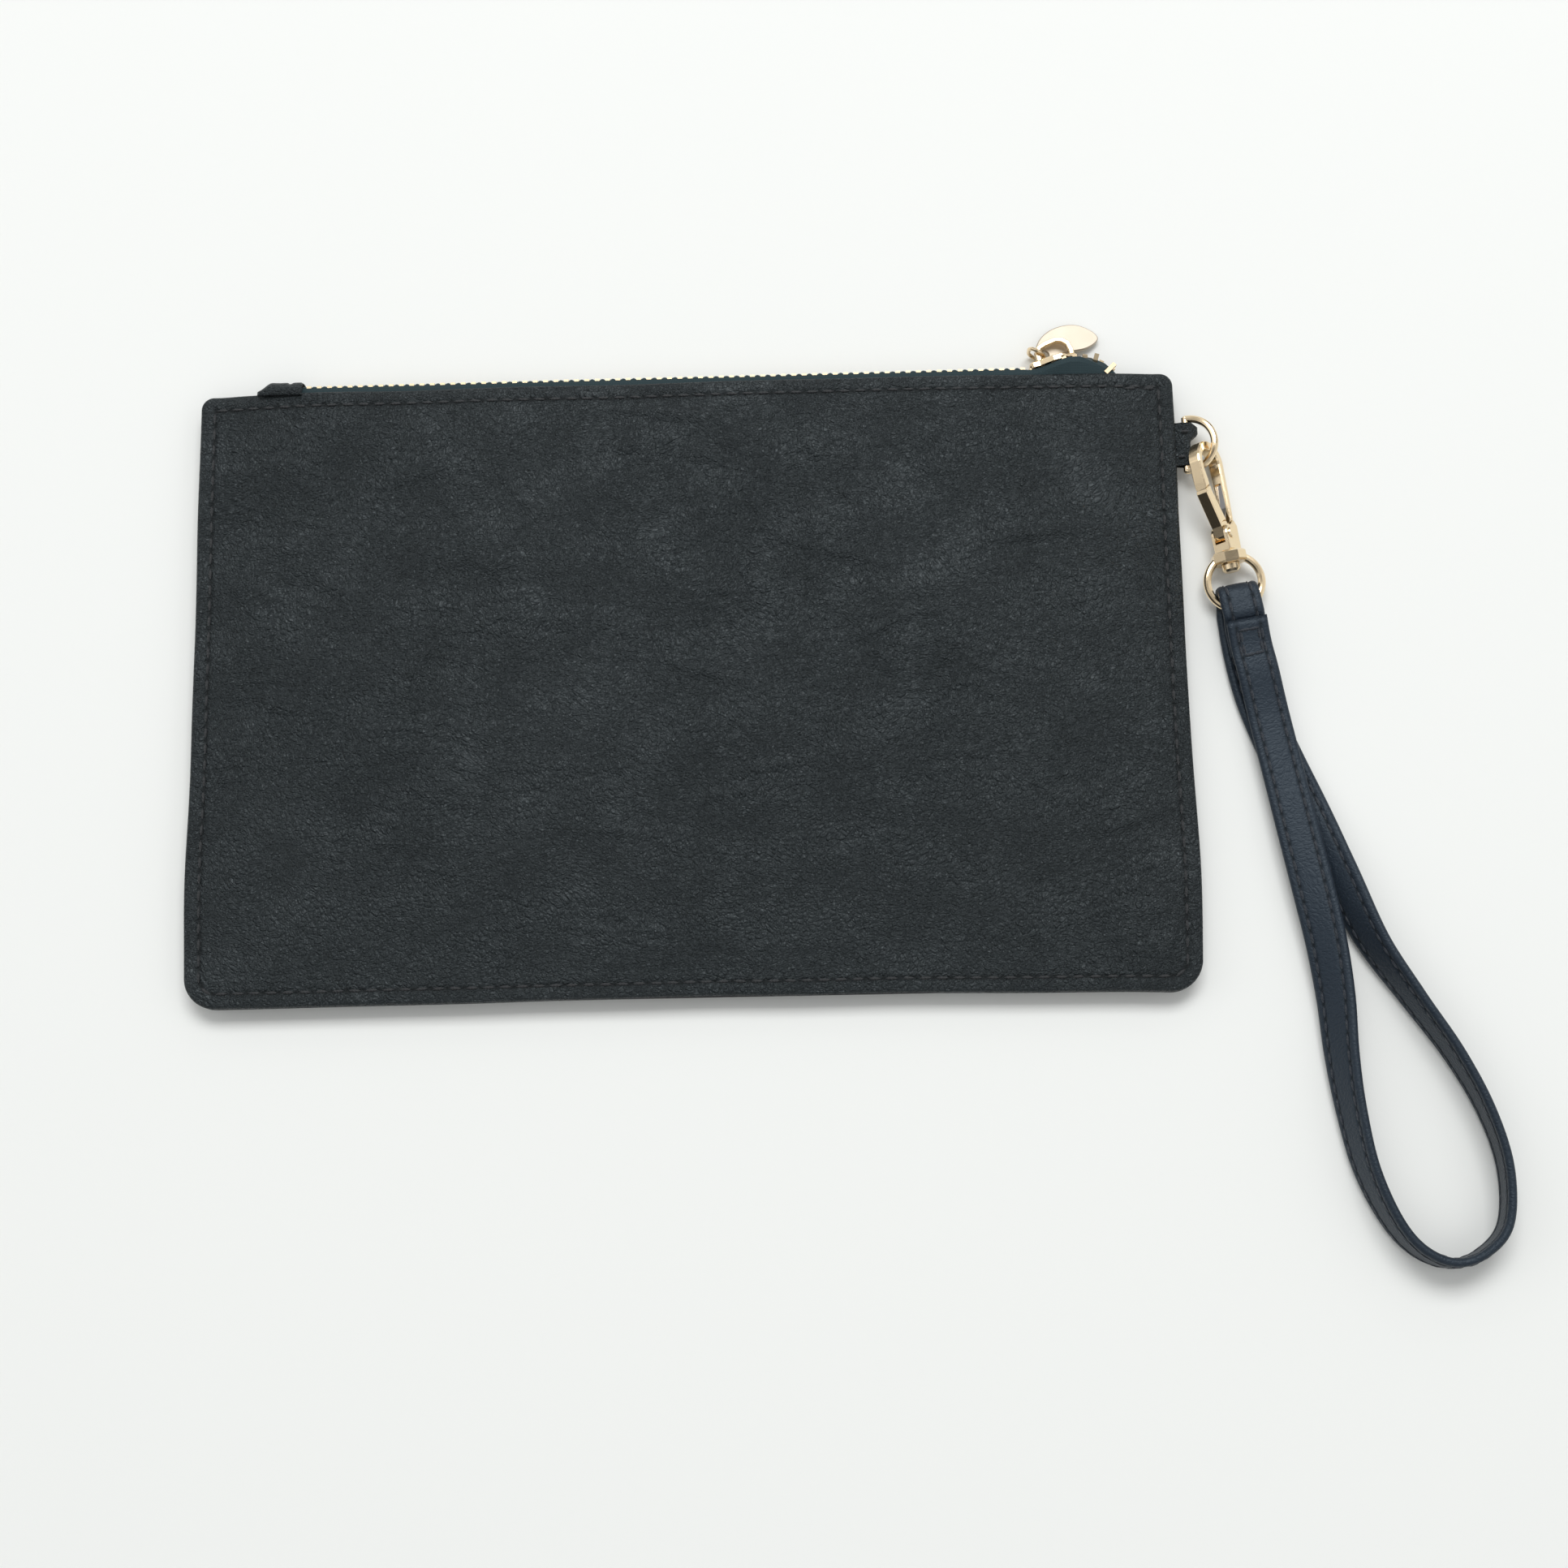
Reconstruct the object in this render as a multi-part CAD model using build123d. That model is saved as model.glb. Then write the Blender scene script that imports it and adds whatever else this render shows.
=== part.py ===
from build123d import *
import os
from math import atan2, cos, degrees, hypot, pi, radians, sin, sqrt

# Wristlet wallet: a flat zipped pouch with a wrist strap on a swivel clasp. Millimetres.
# It lies on its back panel: +X runs along the zipper towards the clasp, +Y towards the
# zipper, +Z up. The origin is the middle of the back panel's flat resting face.

# ---- pouch -------------------------------------------------------------------------
pouch_w = 230.0             # side edge to side edge
pouch_y0 = -73.0            # bottom edge
mouth_y = 72.0              # leather edges at the mouth
bottom_corner_r = 7.3
top_corner_r = 1.5
leather_t = 1.3             # panel leather with its turned edge and interlining
lining_t = 0.25
lining_gap = 0.13           # lining to leather, and tape to leather
seam_gap = 0.07             # half the space between the two linings at the seam
seam_z = 4.2                # height of the seam, and of the zipper's middle
seam_margin = 4.5           # edge to where the two panels part
front_rise = 3.5            # crown of the front panel above the seam
back_rise = 2.7             # crown of the back panel below the seam
mouth_gap = 5.0             # between the leather faces along the mouth
lining_inset = 1.0          # lining edge inside the leather edge
lining_mouth_y = mouth_y - 11.0     # top edge of the lining, where it meets the zipper tape

# ---- zipper chain ------------------------------------------------------------------
chain_y = mouth_y + 2.0     # tape plane of the closed chain
tooth_pitch = 2.45          # between neighbouring teeth on one tape
tooth_t = 1.1               # along the chain
tooth_half_h = 0.9          # half the height across the tape
tooth_leg = 0.9             # leg length on the tape
tooth_head = 1.7            # tape edge to tooth tip
tooth_grip = 0.02           # tooth leg to tape face
tape_edge = 0.9             # chain middle to tape edge when closed
tape_t = 0.5
tape_foot_y = mouth_y - 10.4        # lower hem of the tape inside the pouch
chain_x0 = -pouch_w / 2 + 23.4      # first tooth
chain_x1 = pouch_w / 2 - 15.7       # last tooth before the top stop
row_spread = 1.6            # how far each row moves out round the slider's wedge
open_spread = 1.35          # and where the rows hang free beyond the slider
stop_l = 3.3
stop_w = 1.0
end_tab_x0 = -pouch_w / 2 + 14.0
end_tab_x1 = end_tab_x0 + 10.4
end_tab_t = 0.8
end_tab_top_y = chain_y + 2.3

# ---- slider ------------------------------------------------------------------------
slider_x = pouch_w / 2 - 28.8       # middle of the slider at rest
slider_y = chain_y + 1.05
slider_tilt = 15.0
slider_tail, slider_shoulder, slider_nose = -4.4, 4.1, 6.9
slider_tail_half = 2.95
slider_half_w = 4.05
plate_t = 0.75
channel_clear = 0.12        # tooth to plate
lip_drop = 0.6              # lip height over the tape
lip_w = 0.5
under_tail_inset = 1.1      # the inner plate is shorter at the tail
under_inset = 1.45          # and narrower, to sit between the leather edges
wedge_s0, wedge_mid, wedge_s1 = 1.0, 3.6, 5.6
wedge_half = 0.65
bridge_w = 2.0
bridge_t = 1.2
wire_sides = 12             # flats round every bent wire
link_wire = 0.9
link_x, link_y = slider_x - 2.75, slider_y + 3.95   # middle of the oval link
link_z = seam_z - 0.95
link_turn = 152.0           # direction of the link's short axis
link_inner_w = 3.0
link_inner_l = 4.6
tab_plate_t = 1.0
tab_plate_z = 1.95          # underside of the pull tab at its eye
tab_tip_dx, tab_tip_dy = 13.1, 4.45  # tip from the eye
tab_droop = 6.3             # the tab's tip hangs down to the table
tab_eye_x, tab_eye_y = slider_x - 0.9, slider_y + 3.8
tab_eye_r = 2.05
tab_hole_r = 1.3

# ---- side tab and D-ring -----------------------------------------------------------
side_tab_w = 10.4
side_tab_t = 0.6
side_tab_skived_t = 0.4     # thinned end caught in the seam
side_tab_depth = 3.6        # how far the thinned end reaches into the seam
ring_y = mouth_y - 16.6
ring_bar_x = pouch_w / 2 + 2.6
ring_r = 6.25               # to the wire's middle
ring_wire = 1.7
side_tab_end_x = ring_bar_x + ring_wire / 2 + 0.9   # outside of the fold round the bar
ring_arc_offset = 0.5       # bar to the arc's centre
ring_tilt = 20.0

# ---- clasp -------------------------------------------------------------------------
clasp_x, clasp_y = ring_bar_x + 8.75, ring_y - 27.5     # middle of the swivel collar
clasp_z = 3.7
clasp_lean = 10.2
clasp_pitch = 2.5
clasp_roll = 49.0
hook_t = 3.0
hook_out_r = 5.25
hook_in_r = 3.4
hook_cx = -0.65             # middle of the hook's bend
hook_top_y = 28.2
bend_t = 2.1                # metal at the top of the bend
nose_y = 16.7               # where the nose ends and the gate begins
nose_gap = 0.1
cheek_half = 2.2
gate_half = 1.25            # half width of the gate's pivot end
gate_gap = 0.1
pivot_x, pivot_y = -0.1, 5.6
pin_r = 0.7
pin_clear = 0.05
pin_head_r, pin_head_t = 1.35, 0.35
spring_t, spring_w = 0.3, 1.8

# ---- swivel ------------------------------------------------------------------------
post_r = 1.3
post_clear = 0.06
post_head_r, post_head_t = 2.1, 1.8
collar_flats = 7.6
collar_half = 1.4
swivel_gap = 0.12           # between collar and its neighbours on the post
base_y = collar_half + swivel_gap   # bottom face of the hook body
swivel_r = 6.3              # swivel ring, to the wire's middle
swivel_wire = 1.8
swivel_cy = -5.8            # ring centre below the collar's middle

# ---- wrist strap -------------------------------------------------------------------
strap_w = 9.4
strap_t = 1.9
strap_gap = 0.1             # between layers that lie on each other
fold_gap = 2.6              # room for the ring's wire inside the fold
fold_apex = -6.3            # outside of the fold, below the collar's middle
# The loop's middle line from the fold round to the lapped end: x and y from the
# collar's middle, height, and how far the outer edge has turned up (0 lies flat with its outer face down, 90 stands on
# edge, 180 lies flat with its outer face up).
strap_route = [
    (1.6, -13.4, 1.05, 0), (2.8, -22.9, 0.95, 0), (5.0, -32.9, 0.95, 0),
    (9.2, -44.9, 1.0, 4), (14.7, -58.4, 1.6, 12), (20.8, -73.9, 3.1, 33),
    (27.6, -90.0, 4.2, 56), (35.7, -103.0, 4.7, 71), (44.1, -115.9, 4.8, 79),
    (50.3, -128.6, 4.75, 85), (53.6, -141.1, 4.7, 89), (52.7, -153.3, 4.7, 90),
    (47.2, -159.5, 4.7, 90), (40.5, -161.5, 4.7, 92), (33.5, -158.7, 4.75, 97),
    (28.0, -152.1, 4.8, 103), (23.2, -140.9, 4.8, 111), (20.6, -128.0, 4.7, 119),
    (19.2, -115.4, 4.6, 129), (18.6, -102.7, 4.6, 141), (17.1, -89.8, 4.75, 154),
    (14.8, -76.9, 4.6, 166), (12.3, -63.7, 4.1, 174), (9.8, -50.4, 3.4, 179),
    (7.2, -37.1, 3.3, 180), (5.2, -27.4, 4.75, 180), (3.8, -20.9, 5.1, 180),
    (2.8, -15.1, 6.5, 180),
]

outer_half = pouch_w / 2
slider_angle = radians(slider_tilt)
parts = {}


# ---- pouch surfaces ----------------------------------------------------------------
def clamp01(v):
    return max(0.0, min(1.0, v))


def opening(x, y, rise):
    """Distance of a panel's inner face from the seam plane: zero at the seams, the
    crown's rise in the middle, and half the mouth gap along most of the mouth."""
    u = clamp01(abs(x) / (outer_half - seam_margin))
    up = clamp01((y - pouch_y0 - seam_margin) / (mouth_y - pouch_y0) * 1.6)
    s = clamp01(y / mouth_y)
    across = (1 - u**4) ** 1.5 * (1 - s**3) + (1 - u**12) ** 1.5 * s**3
    seam = seam_gap + lining_t + lining_gap
    height = rise + (mouth_gap / 2 - seam - rise) * s**3
    return seam + height * across * (1 - (1 - up) ** 3) ** 1.5


def front_inner(x, y):
    return seam_z + opening(x, y, front_rise)


def back_inner(x, y):
    return seam_z - opening(x, y, back_rise)


def sheet_solid(height, thickness, trim):
    """A sheet whose lower face is height(x, y), trimmed by an upright prism."""
    nx, ny = 19, 13
    x0, x1 = -outer_half - 1, outer_half + 1
    y0, y1 = pouch_y0 - 1, mouth_y + 1
    grid = [
        [Vector(x, y, height(x, y))
         for y in (y0 + (y1 - y0) * j / (ny - 1) for j in range(ny))]
        for x in (x0 + (x1 - x0) * i / (nx - 1) for i in range(nx))
    ]
    surface = Face.make_surface_from_array_of_points(grid, tol=0.02, max_deg=3)
    slab = Solid.extrude(surface, Vector(0, 0, thickness))
    return slab & trim


def outline_prism(inset, top_y):
    half = outer_half - inset
    low = pouch_y0 + inset
    blank = Pos(0, (low + top_y) / 2) * Rectangle(2 * half, top_y - low)
    bottom = blank.vertices().sort_by(Axis.Y)[:2]
    top = blank.vertices().sort_by(Axis.Y)[2:]
    shape = fillet(bottom, bottom_corner_r - inset)
    shape = fillet(shape.vertices().sort_by(Axis.Y)[-2:], top_corner_r) if inset < 1 else shape
    return Pos(0, 0, -5) * extrude(shape, 30)


def make_pouch():
    outer = outline_prism(0, mouth_y)
    inner = outline_prism(lining_inset, lining_mouth_y)
    front = sheet_solid(front_inner, leather_t, outer)
    back = sheet_solid(lambda x, y: back_inner(x, y) - leather_t, leather_t, outer)
    back &= Pos(0, 0, 20) * Box(2 * pouch_w, 2 * pouch_w, 40)
    parts["front_panel"] = front
    parts["back_panel"] = back
    notch = tongue_block(0.12)
    deep = lining_t + lining_gap
    above = sheet_solid(lambda x, y: front_inner(x, y) - deep, lining_t, inner)
    below = sheet_solid(lambda x, y: back_inner(x, y) + lining_gap, lining_t, inner)
    parts["lining_front"] = above - notch
    parts["lining_back"] = below - notch


def tongue_block(grow):
    """The thinned end of the side tab where it is caught in the seam."""
    length = side_tab_depth + 0.8
    return Pos(outer_half - side_tab_depth + length / 2, ring_y, seam_z) * Box(
        length + 2 * grow, side_tab_w - 0.2 + 2 * grow, side_tab_skived_t + 2 * grow)


# ---- zipper ------------------------------------------------------------------------
def lerp(table, x):
    """Straight-line reading of a table of rows whose first column is x."""
    if x <= table[0][0]:
        return table[0][1:]
    for a, b in zip(table, table[1:]):
        if x <= b[0]:
            f = (x - a[0]) / (b[0] - a[0])
            return tuple(p + (q - p) * f for p, q in zip(a[1:], b[1:]))
    return table[-1][1:]


def on_slider(s, n):
    """World x, y of a point given along and across the tilted slider."""
    ca, sa = cos(slider_angle), sin(slider_angle)
    return slider_x + s * ca - n * sa, slider_y + s * sa + n * ca


def chain_table():
    """Tape edge path: x, y, spread from the closed chain, roll in degrees."""
    enter = on_slider(slider_tail - 0.3, 0)
    split = on_slider(-2.0, 0)
    wide = on_slider(2.6, 0)
    leave = on_slider(4.8, 0)
    rows = [
        (-pouch_w, chain_y, 0, 0),
        (enter[0] - 1.6, chain_y, 0, 0),
        (enter[0], enter[1], 0, 0),
        (split[0], split[1], 0, 0),
        (wide[0], wide[1], row_spread, 0),
        (leave[0], leave[1], row_spread, 0),
    ]
    fall = [(2.4, 0.4, 1.0, 12), (4.4, 0.3, 0.95, 42), (6.4, -0.15, 0.75, 66),
            (8.4, -0.95, 0.5, 80), (10.0, -2.2, 0.16, 88), (11.2, -3.6, 0.05, 90),
            (12.2, -5.4, 0.0, 90)]
    for dx, dy, part_open, roll in fall:
        rows.append((leave[0] + dx, leave[1] + dy, open_spread * part_open, roll))
    return rows


def row_plane(x, side, table):
    """Frame on one tape edge: x axis away from the teeth, y axis the tape's normal,
    z axis along the chain."""
    y, spread, roll = lerp(table, x)
    reach = 0.7 * tooth_pitch
    ya = lerp(table, x - reach)[0]
    yb = lerp(table, x + reach)[0]
    a = atan2(yb - ya, 2 * reach)
    r = radians(roll)
    tangent = Vector(cos(a), sin(a), 0)
    normal = Vector(-sin(a), cos(a), 0)
    up = Vector(0, 0, side)
    away = up * cos(r) - normal * sin(r)
    centre = Vector(x, y, seam_z + side * (tape_edge + spread))
    return Plane(origin=centre, x_dir=away, z_dir=tangent * side)


def tooth_profile(head, leg):
    h, g = tooth_half_h, tape_t / 2 + tooth_grip
    return make_face(Polyline(
        (-head, -h * 0.65), (leg, -h), (leg, -g), (0, -g), (0, g), (leg, g), (leg, h),
        (-head, h * 0.65), close=True))


def make_teeth(side, table):
    shift = 0 if side > 0 else tooth_pitch / 2
    blank = extrude(tooth_profile(tooth_head, tooth_leg), tooth_t / 2, both=True)
    count = int((chain_x1 - chain_x0 - shift) / tooth_pitch) + 1
    return Compound(children=[
        row_plane(chain_x0 + shift + i * tooth_pitch, side, table).location * blank
        for i in range(count)
    ])


def make_stop(side, table):
    blank = extrude(tooth_profile(stop_l * 0.45, stop_l * 0.55), stop_w / 2, both=True)
    return row_plane(chain_x1 + 1.3, side, table).location * blank


def tape_section(x, side, table):
    """Closed outline of the tape at x: from the tape edge out past the tooth legs,
    down beside the slider, and down inside the leather to its hem."""
    y, spread, roll = lerp(table, x)
    rise = front_rise if side > 0 else back_rise
    off = tape_t / 2 + lining_gap + 0.05
    inner = opening(x, mouth_y, rise) - off
    half_y = (mouth_y + tape_foot_y) / 2
    r = radians(roll)
    edge = (tape_edge + spread, y)
    reach = tooth_leg + 0.35
    hip = (edge[0] + reach * cos(r), edge[1] - reach * sin(r))
    hang = 0.75 * cos(r)
    side_pt = (hip[0] + (inner - hip[0]) * 0.18 * sin(r), hip[1] - 0.25 - hang)
    drop = min(side_pt[1] - 0.5, mouth_y + 0.55)
    neck = (inner + 0.35 * (side_pt[0] - inner), drop)
    lip = min(mouth_y - 0.15, neck[1] - 0.5)
    mid = [edge, hip, side_pt, neck, (inner, lip),
           (opening(x, half_y, rise) - off, half_y),
           (opening(x, tape_foot_y, rise) - off, tape_foot_y)]
    left, right = [], []
    for i, p in enumerate(mid):
        a = mid[max(i - 1, 0)]
        b = mid[min(i + 1, len(mid) - 1)]
        ux, uy = b[0] - a[0], b[1] - a[1]
        size = hypot(ux, uy)
        nx, ny = -uy / size, ux / size
        left.append((p[0] + nx * tape_t / 2, p[1] + ny * tape_t / 2))
        right.append((p[0] - nx * tape_t / 2, p[1] - ny * tape_t / 2))
    ring = left + right[::-1]
    return Face(Wire.make_polygon(
        [Vector(x, q, seam_z + side * p) for p, q in ring]))


def make_tape(side, table):
    first = end_tab_x0 + 1.5
    steps = 13
    knots = [first + (table[1][0] - first) * (i / steps) ** 1.6 for i in range(steps)]
    knots += [row[0] for row in table[1:]]
    end_x = outer_half - 11.5
    knots = [x for x in knots if x < end_x - 0.4] + [end_x]
    return loft([tape_section(x, side, table) for x in knots], ruled=True)


def make_end_tab():
    """Leather keeper folded over the closed end of the chain, on the leather edges."""
    top = end_tab_top_y
    low = mouth_y + 0.1
    half = mouth_gap / 2 + 0.05 + end_tab_t
    k = end_tab_t
    outer = make_face(Polyline(
        (-half, low), (-half, top - 1.0), (-half + 1.0, top), (half - 1.0, top),
        (half, top - 1.0), (half, low), close=True))
    inner = make_face(Polyline(
        (-half + k, low - 1), (-half + k, top - 1.3), (-half + 1.3, top - k),
        (half - 1.3, top - k), (half - k, top - 1.3), (half - k, low - 1), close=True))
    where = Plane(origin=(end_tab_x0, 0, seam_z), x_dir=(0, 0, 1), z_dir=(-1, 0, 0))
    length = end_tab_x1 - end_tab_x0
    tab = extrude(where * (outer - inner), -length)
    keep = Pos(0, 0, -5) * extrude(make_face(Polyline(
        (end_tab_x0, low - 1), (end_tab_x0, top - 1.7), (end_tab_x0 + 0.8, top - 0.6),
        (end_tab_x0 + 2.6, top + 0.2), (end_tab_x1, top + 0.2), (end_tab_x1, low - 1),
        close=True)), 30)
    return tab & keep


def make_bottom_stop():
    """Small metal block closing the chain under the keeper."""
    return Pos(chain_x0 - 2.4, chain_y, seam_z) * Box(1.6, 2 * tooth_half_h, 1.7)


def make_slider():
    c = tooth_half_h + channel_clear
    tail, sh, nose = slider_tail, slider_shoulder, slider_nose
    th, hw = slider_tail_half, slider_half_w
    top_shape = make_face(Polyline(
        (tail, th - 0.8), (tail + 0.8, th), (-2.0, th), (1.2, hw), (sh - 0.7, hw),
        (sh, hw - 0.8), (sh + 0.9, 2.0), (nose, 1.35), (nose, -1.35), (sh + 0.9, -2.0),
        (sh, -hw + 0.8), (sh - 0.7, -hw), (1.2, -hw), (-2.0, -th), (tail + 0.8, -th),
        (tail, -th + 0.8), close=True))
    u, ui = under_inset, under_tail_inset
    low_shape = make_face(Polyline(
        (tail + ui, th - u), (-2.0, th - u), (1.2, hw - u), (sh - 1.0, hw - u),
        (sh, 1.6), (nose - 1.2, 1.0), (nose - 1.2, -1.0), (sh, -1.6), (sh - 1.0, -hw + u),
        (1.2, -hw + u), (-2.0, -th + u), (tail + ui, -th + u), close=True))
    flat = Plane(origin=(0, 0, 0), x_dir=(1, 0, 0), z_dir=(0, 1, 0))
    top = extrude(flat.offset(c - lip_drop) * top_shape, plate_t + lip_drop)
    top = chamfer(top.faces().sort_by(Axis.Y)[-1].edges(), plate_t * 0.4)
    lip_cut = extrude(flat.offset(c - lip_drop - 1) * offset(top_shape, -lip_w), lip_drop + 1)
    mouths = Pos(0, c - lip_drop / 2, 0) * Box(30, lip_drop, 2 * (th - lip_w))
    nose_cut = Pos(sh + 2.4, c - lip_drop / 2, 0) * Box(7.2, lip_drop, 20)
    top = top - lip_cut - mouths - nose_cut
    low = extrude(flat.offset(-c - plate_t) * low_shape, plate_t)
    low = chamfer(low.faces().sort_by(Axis.Y)[0].edges(), plate_t * 0.4)
    wedge = extrude(flat.offset(-c - 0.05) * make_face(Polyline(
        (wedge_s0, 0), (wedge_mid, wedge_half), (wedge_s1, wedge_half * 0.6),
        (wedge_s1, -wedge_half * 0.6), (wedge_mid, -wedge_half), close=True)), 2 * c + 0.1)
    foot = c + plate_t - 0.1
    arch_out = Polyline(
        (-2.2, foot), (-2.1, 4.6), (-1.2, 5.9), (0.6, 6.5), (3.6, 6.85), (5.2, 6.3),
        (6.5, 5.0), (6.9, 2.9), (6.75, foot))
    arch = make_face(arch_out + Line((6.75, foot), (-2.2, foot)))
    hole = make_face(Polyline(
        (-1.0, foot - 1), (-0.9, 4.3), (-0.4, 4.95), (0.9, 5.35), (3.5, 5.65), (4.5, 5.3),
        (5.4, 4.4), (5.7, 2.8), (5.55, foot - 1), close=True))
    bridge = extrude(arch - hole, bridge_w / 2, both=True)
    bridge = chamfer(bridge.edges().filter_by(Axis.Z, reverse=True), bridge_t * 0.2)
    body = top + low + wedge + bridge
    return Pos(slider_x, slider_y, seam_z) * Rot(0, 0, slider_tilt) * body


def wire_section(radius):
    """Section of a bent wire: a polygon with the round wire's area."""
    turn = pi / wire_sides
    return RegularPolygon(radius * sqrt(turn / (sin(turn) * cos(turn))), wire_sides)


def wire_arc(bend, radius, angle):
    """Wire bent round Z from the X axis, its middle at the bend's radius."""
    return revolve(Plane.XZ * Pos(bend, 0) * wire_section(radius), Axis.Z, angle)


def bent_wire(half_w, straight, radius):
    """Closed oval of wire in the XY plane, its long axis along Y."""
    end = wire_arc(half_w, radius, 180)
    side = extrude(Plane.XZ * wire_section(radius), straight, both=True)
    ring = Pos(0, straight, 0) * end + Pos(0, -straight, 0) * Rot(0, 0, 180) * end
    return ring + Pos(half_w, 0, 0) * side + Pos(-half_w, 0, 0) * side


def make_link():
    half_l = (link_inner_l + link_wire) / 2
    half_w = (link_inner_w + link_wire) / 2
    ring = bent_wire(half_w, half_l - half_w, link_wire / 2)
    return Pos(link_x, link_y, link_z) * Rot(0, 0, link_turn) * Rot(90, 0, 0) * ring


def make_pull_tab():
    """Leaf-shaped plate with a round eye, drooping to the table from the link."""
    leaf = make_face(Spline(
        (-2.05, 0.75), (-1.0, 4.05), (1.0, 6.05), (3.9, 7.45), (7.0, 7.95), (10.7, 6.95),
        (tab_tip_dx, tab_tip_dy), (11.6, 2.65), (8.6, 1.45), (4.7, 0.65), (1.6, -0.65),
        (-0.9, -1.0), periodic=True))
    plate = extrude(leaf + Circle(tab_eye_r), tab_plate_t)
    plate = chamfer(plate.faces().sort_by(Axis.Z)[-1].edges(), tab_plate_t * 0.25)
    plate -= Pos(0, 0, tab_plate_t / 2) * Cylinder(tab_hole_r, 3 * tab_plate_t)
    turn = degrees(atan2(tab_tip_dy, tab_tip_dx))
    hang = Rot(0, 0, turn) * Rot(0, tab_droop, 0) * Rot(0, 0, -turn)
    return Pos(tab_eye_x, tab_eye_y, tab_plate_z) * hang * plate


# ---- side tab and D-ring -----------------------------------------------------------
def ring_frame():
    """D-ring frame: origin on the bar's middle, x out to the arc, y along the bar."""
    return Pos(ring_bar_x, ring_y, seam_z) * Rot(0, -ring_tilt, 0)


def make_side_ring():
    w = ring_wire / 2
    bar = Cylinder(w, 2 * ring_r + 1.5 * w)
    bar = chamfer(bar.edges().filter_by(GeomType.CIRCLE), 0.4 * w)
    ring = Rot(90, 0, 0) * bar
    ring += Pos(ring_arc_offset, 0, 0) * Rot(0, 0, -90) * wire_arc(ring_r, w, 180)
    arm = extrude(Plane.YZ * wire_section(w), ring_arc_offset)
    for side in (1, -1):
        ring += Pos(0, side * ring_r, 0) * arm
    return ring_frame() * ring


def make_side_tab():
    """Leather loop sewn in the seam and folded round the D-ring's bar."""
    t = side_tab_t
    gap = ring_wire / 2 + 0.1
    reach = side_tab_end_x - ring_bar_x
    root = outer_half - ring_bar_x + 0.3
    r = gap + t
    back = make_face(Polyline(
        (root, r * 0.5), (root * 0.45, r), (reach - r, r), (reach - r * 0.3, r * 0.72),
        (reach, 0), (reach - r * 0.3, -r * 0.72), (reach - r, -r), (root * 0.45, -r),
        (root, -r * 0.5), close=True))
    hollow = make_face(Polyline(
        (root * 0.55, 0), (-gap * 0.7, gap), (reach - t - gap * 0.7, gap),
        (reach - t, 0), (reach - t - gap * 0.7, -gap), (-gap * 0.7, -gap), close=True))
    loop = extrude(Plane.XZ * (back - hollow), side_tab_w / 2, both=True)
    plan = Rectangle(2 * reach, side_tab_w - 0.2)
    plan = fillet(plan.vertices().sort_by(Axis.X)[-2:], side_tab_w * 0.33)
    loop = loop & Pos(0, 0, -5) * extrude(plan, 10)
    return ring_frame() * loop + tongue_block(0)


# ---- clasp -------------------------------------------------------------------------
def swivel_frame():
    """Clasp frame before its roll: origin in the collar, y towards the hook."""
    return Pos(clasp_x, clasp_y, clasp_z) * Rot(0, 0, clasp_lean) * Rot(clasp_pitch, 0, 0)


def clasp_frame():
    return swivel_frame() * Rot(0, clasp_roll, 0)


def spine_outer(y):
    """Outer edge of the spine at height y."""
    return 2.9 + (hook_cx + hook_out_r - 2.9) * clamp01((y - 3.5) / 17.0)


def joint_radius():
    """The nose and the gate's end meet on an arc of this radius about the pivot."""
    mid_x = hook_cx - hook_out_r + 1.5
    return hypot(mid_x - pivot_x, nose_y - pivot_y)


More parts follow.
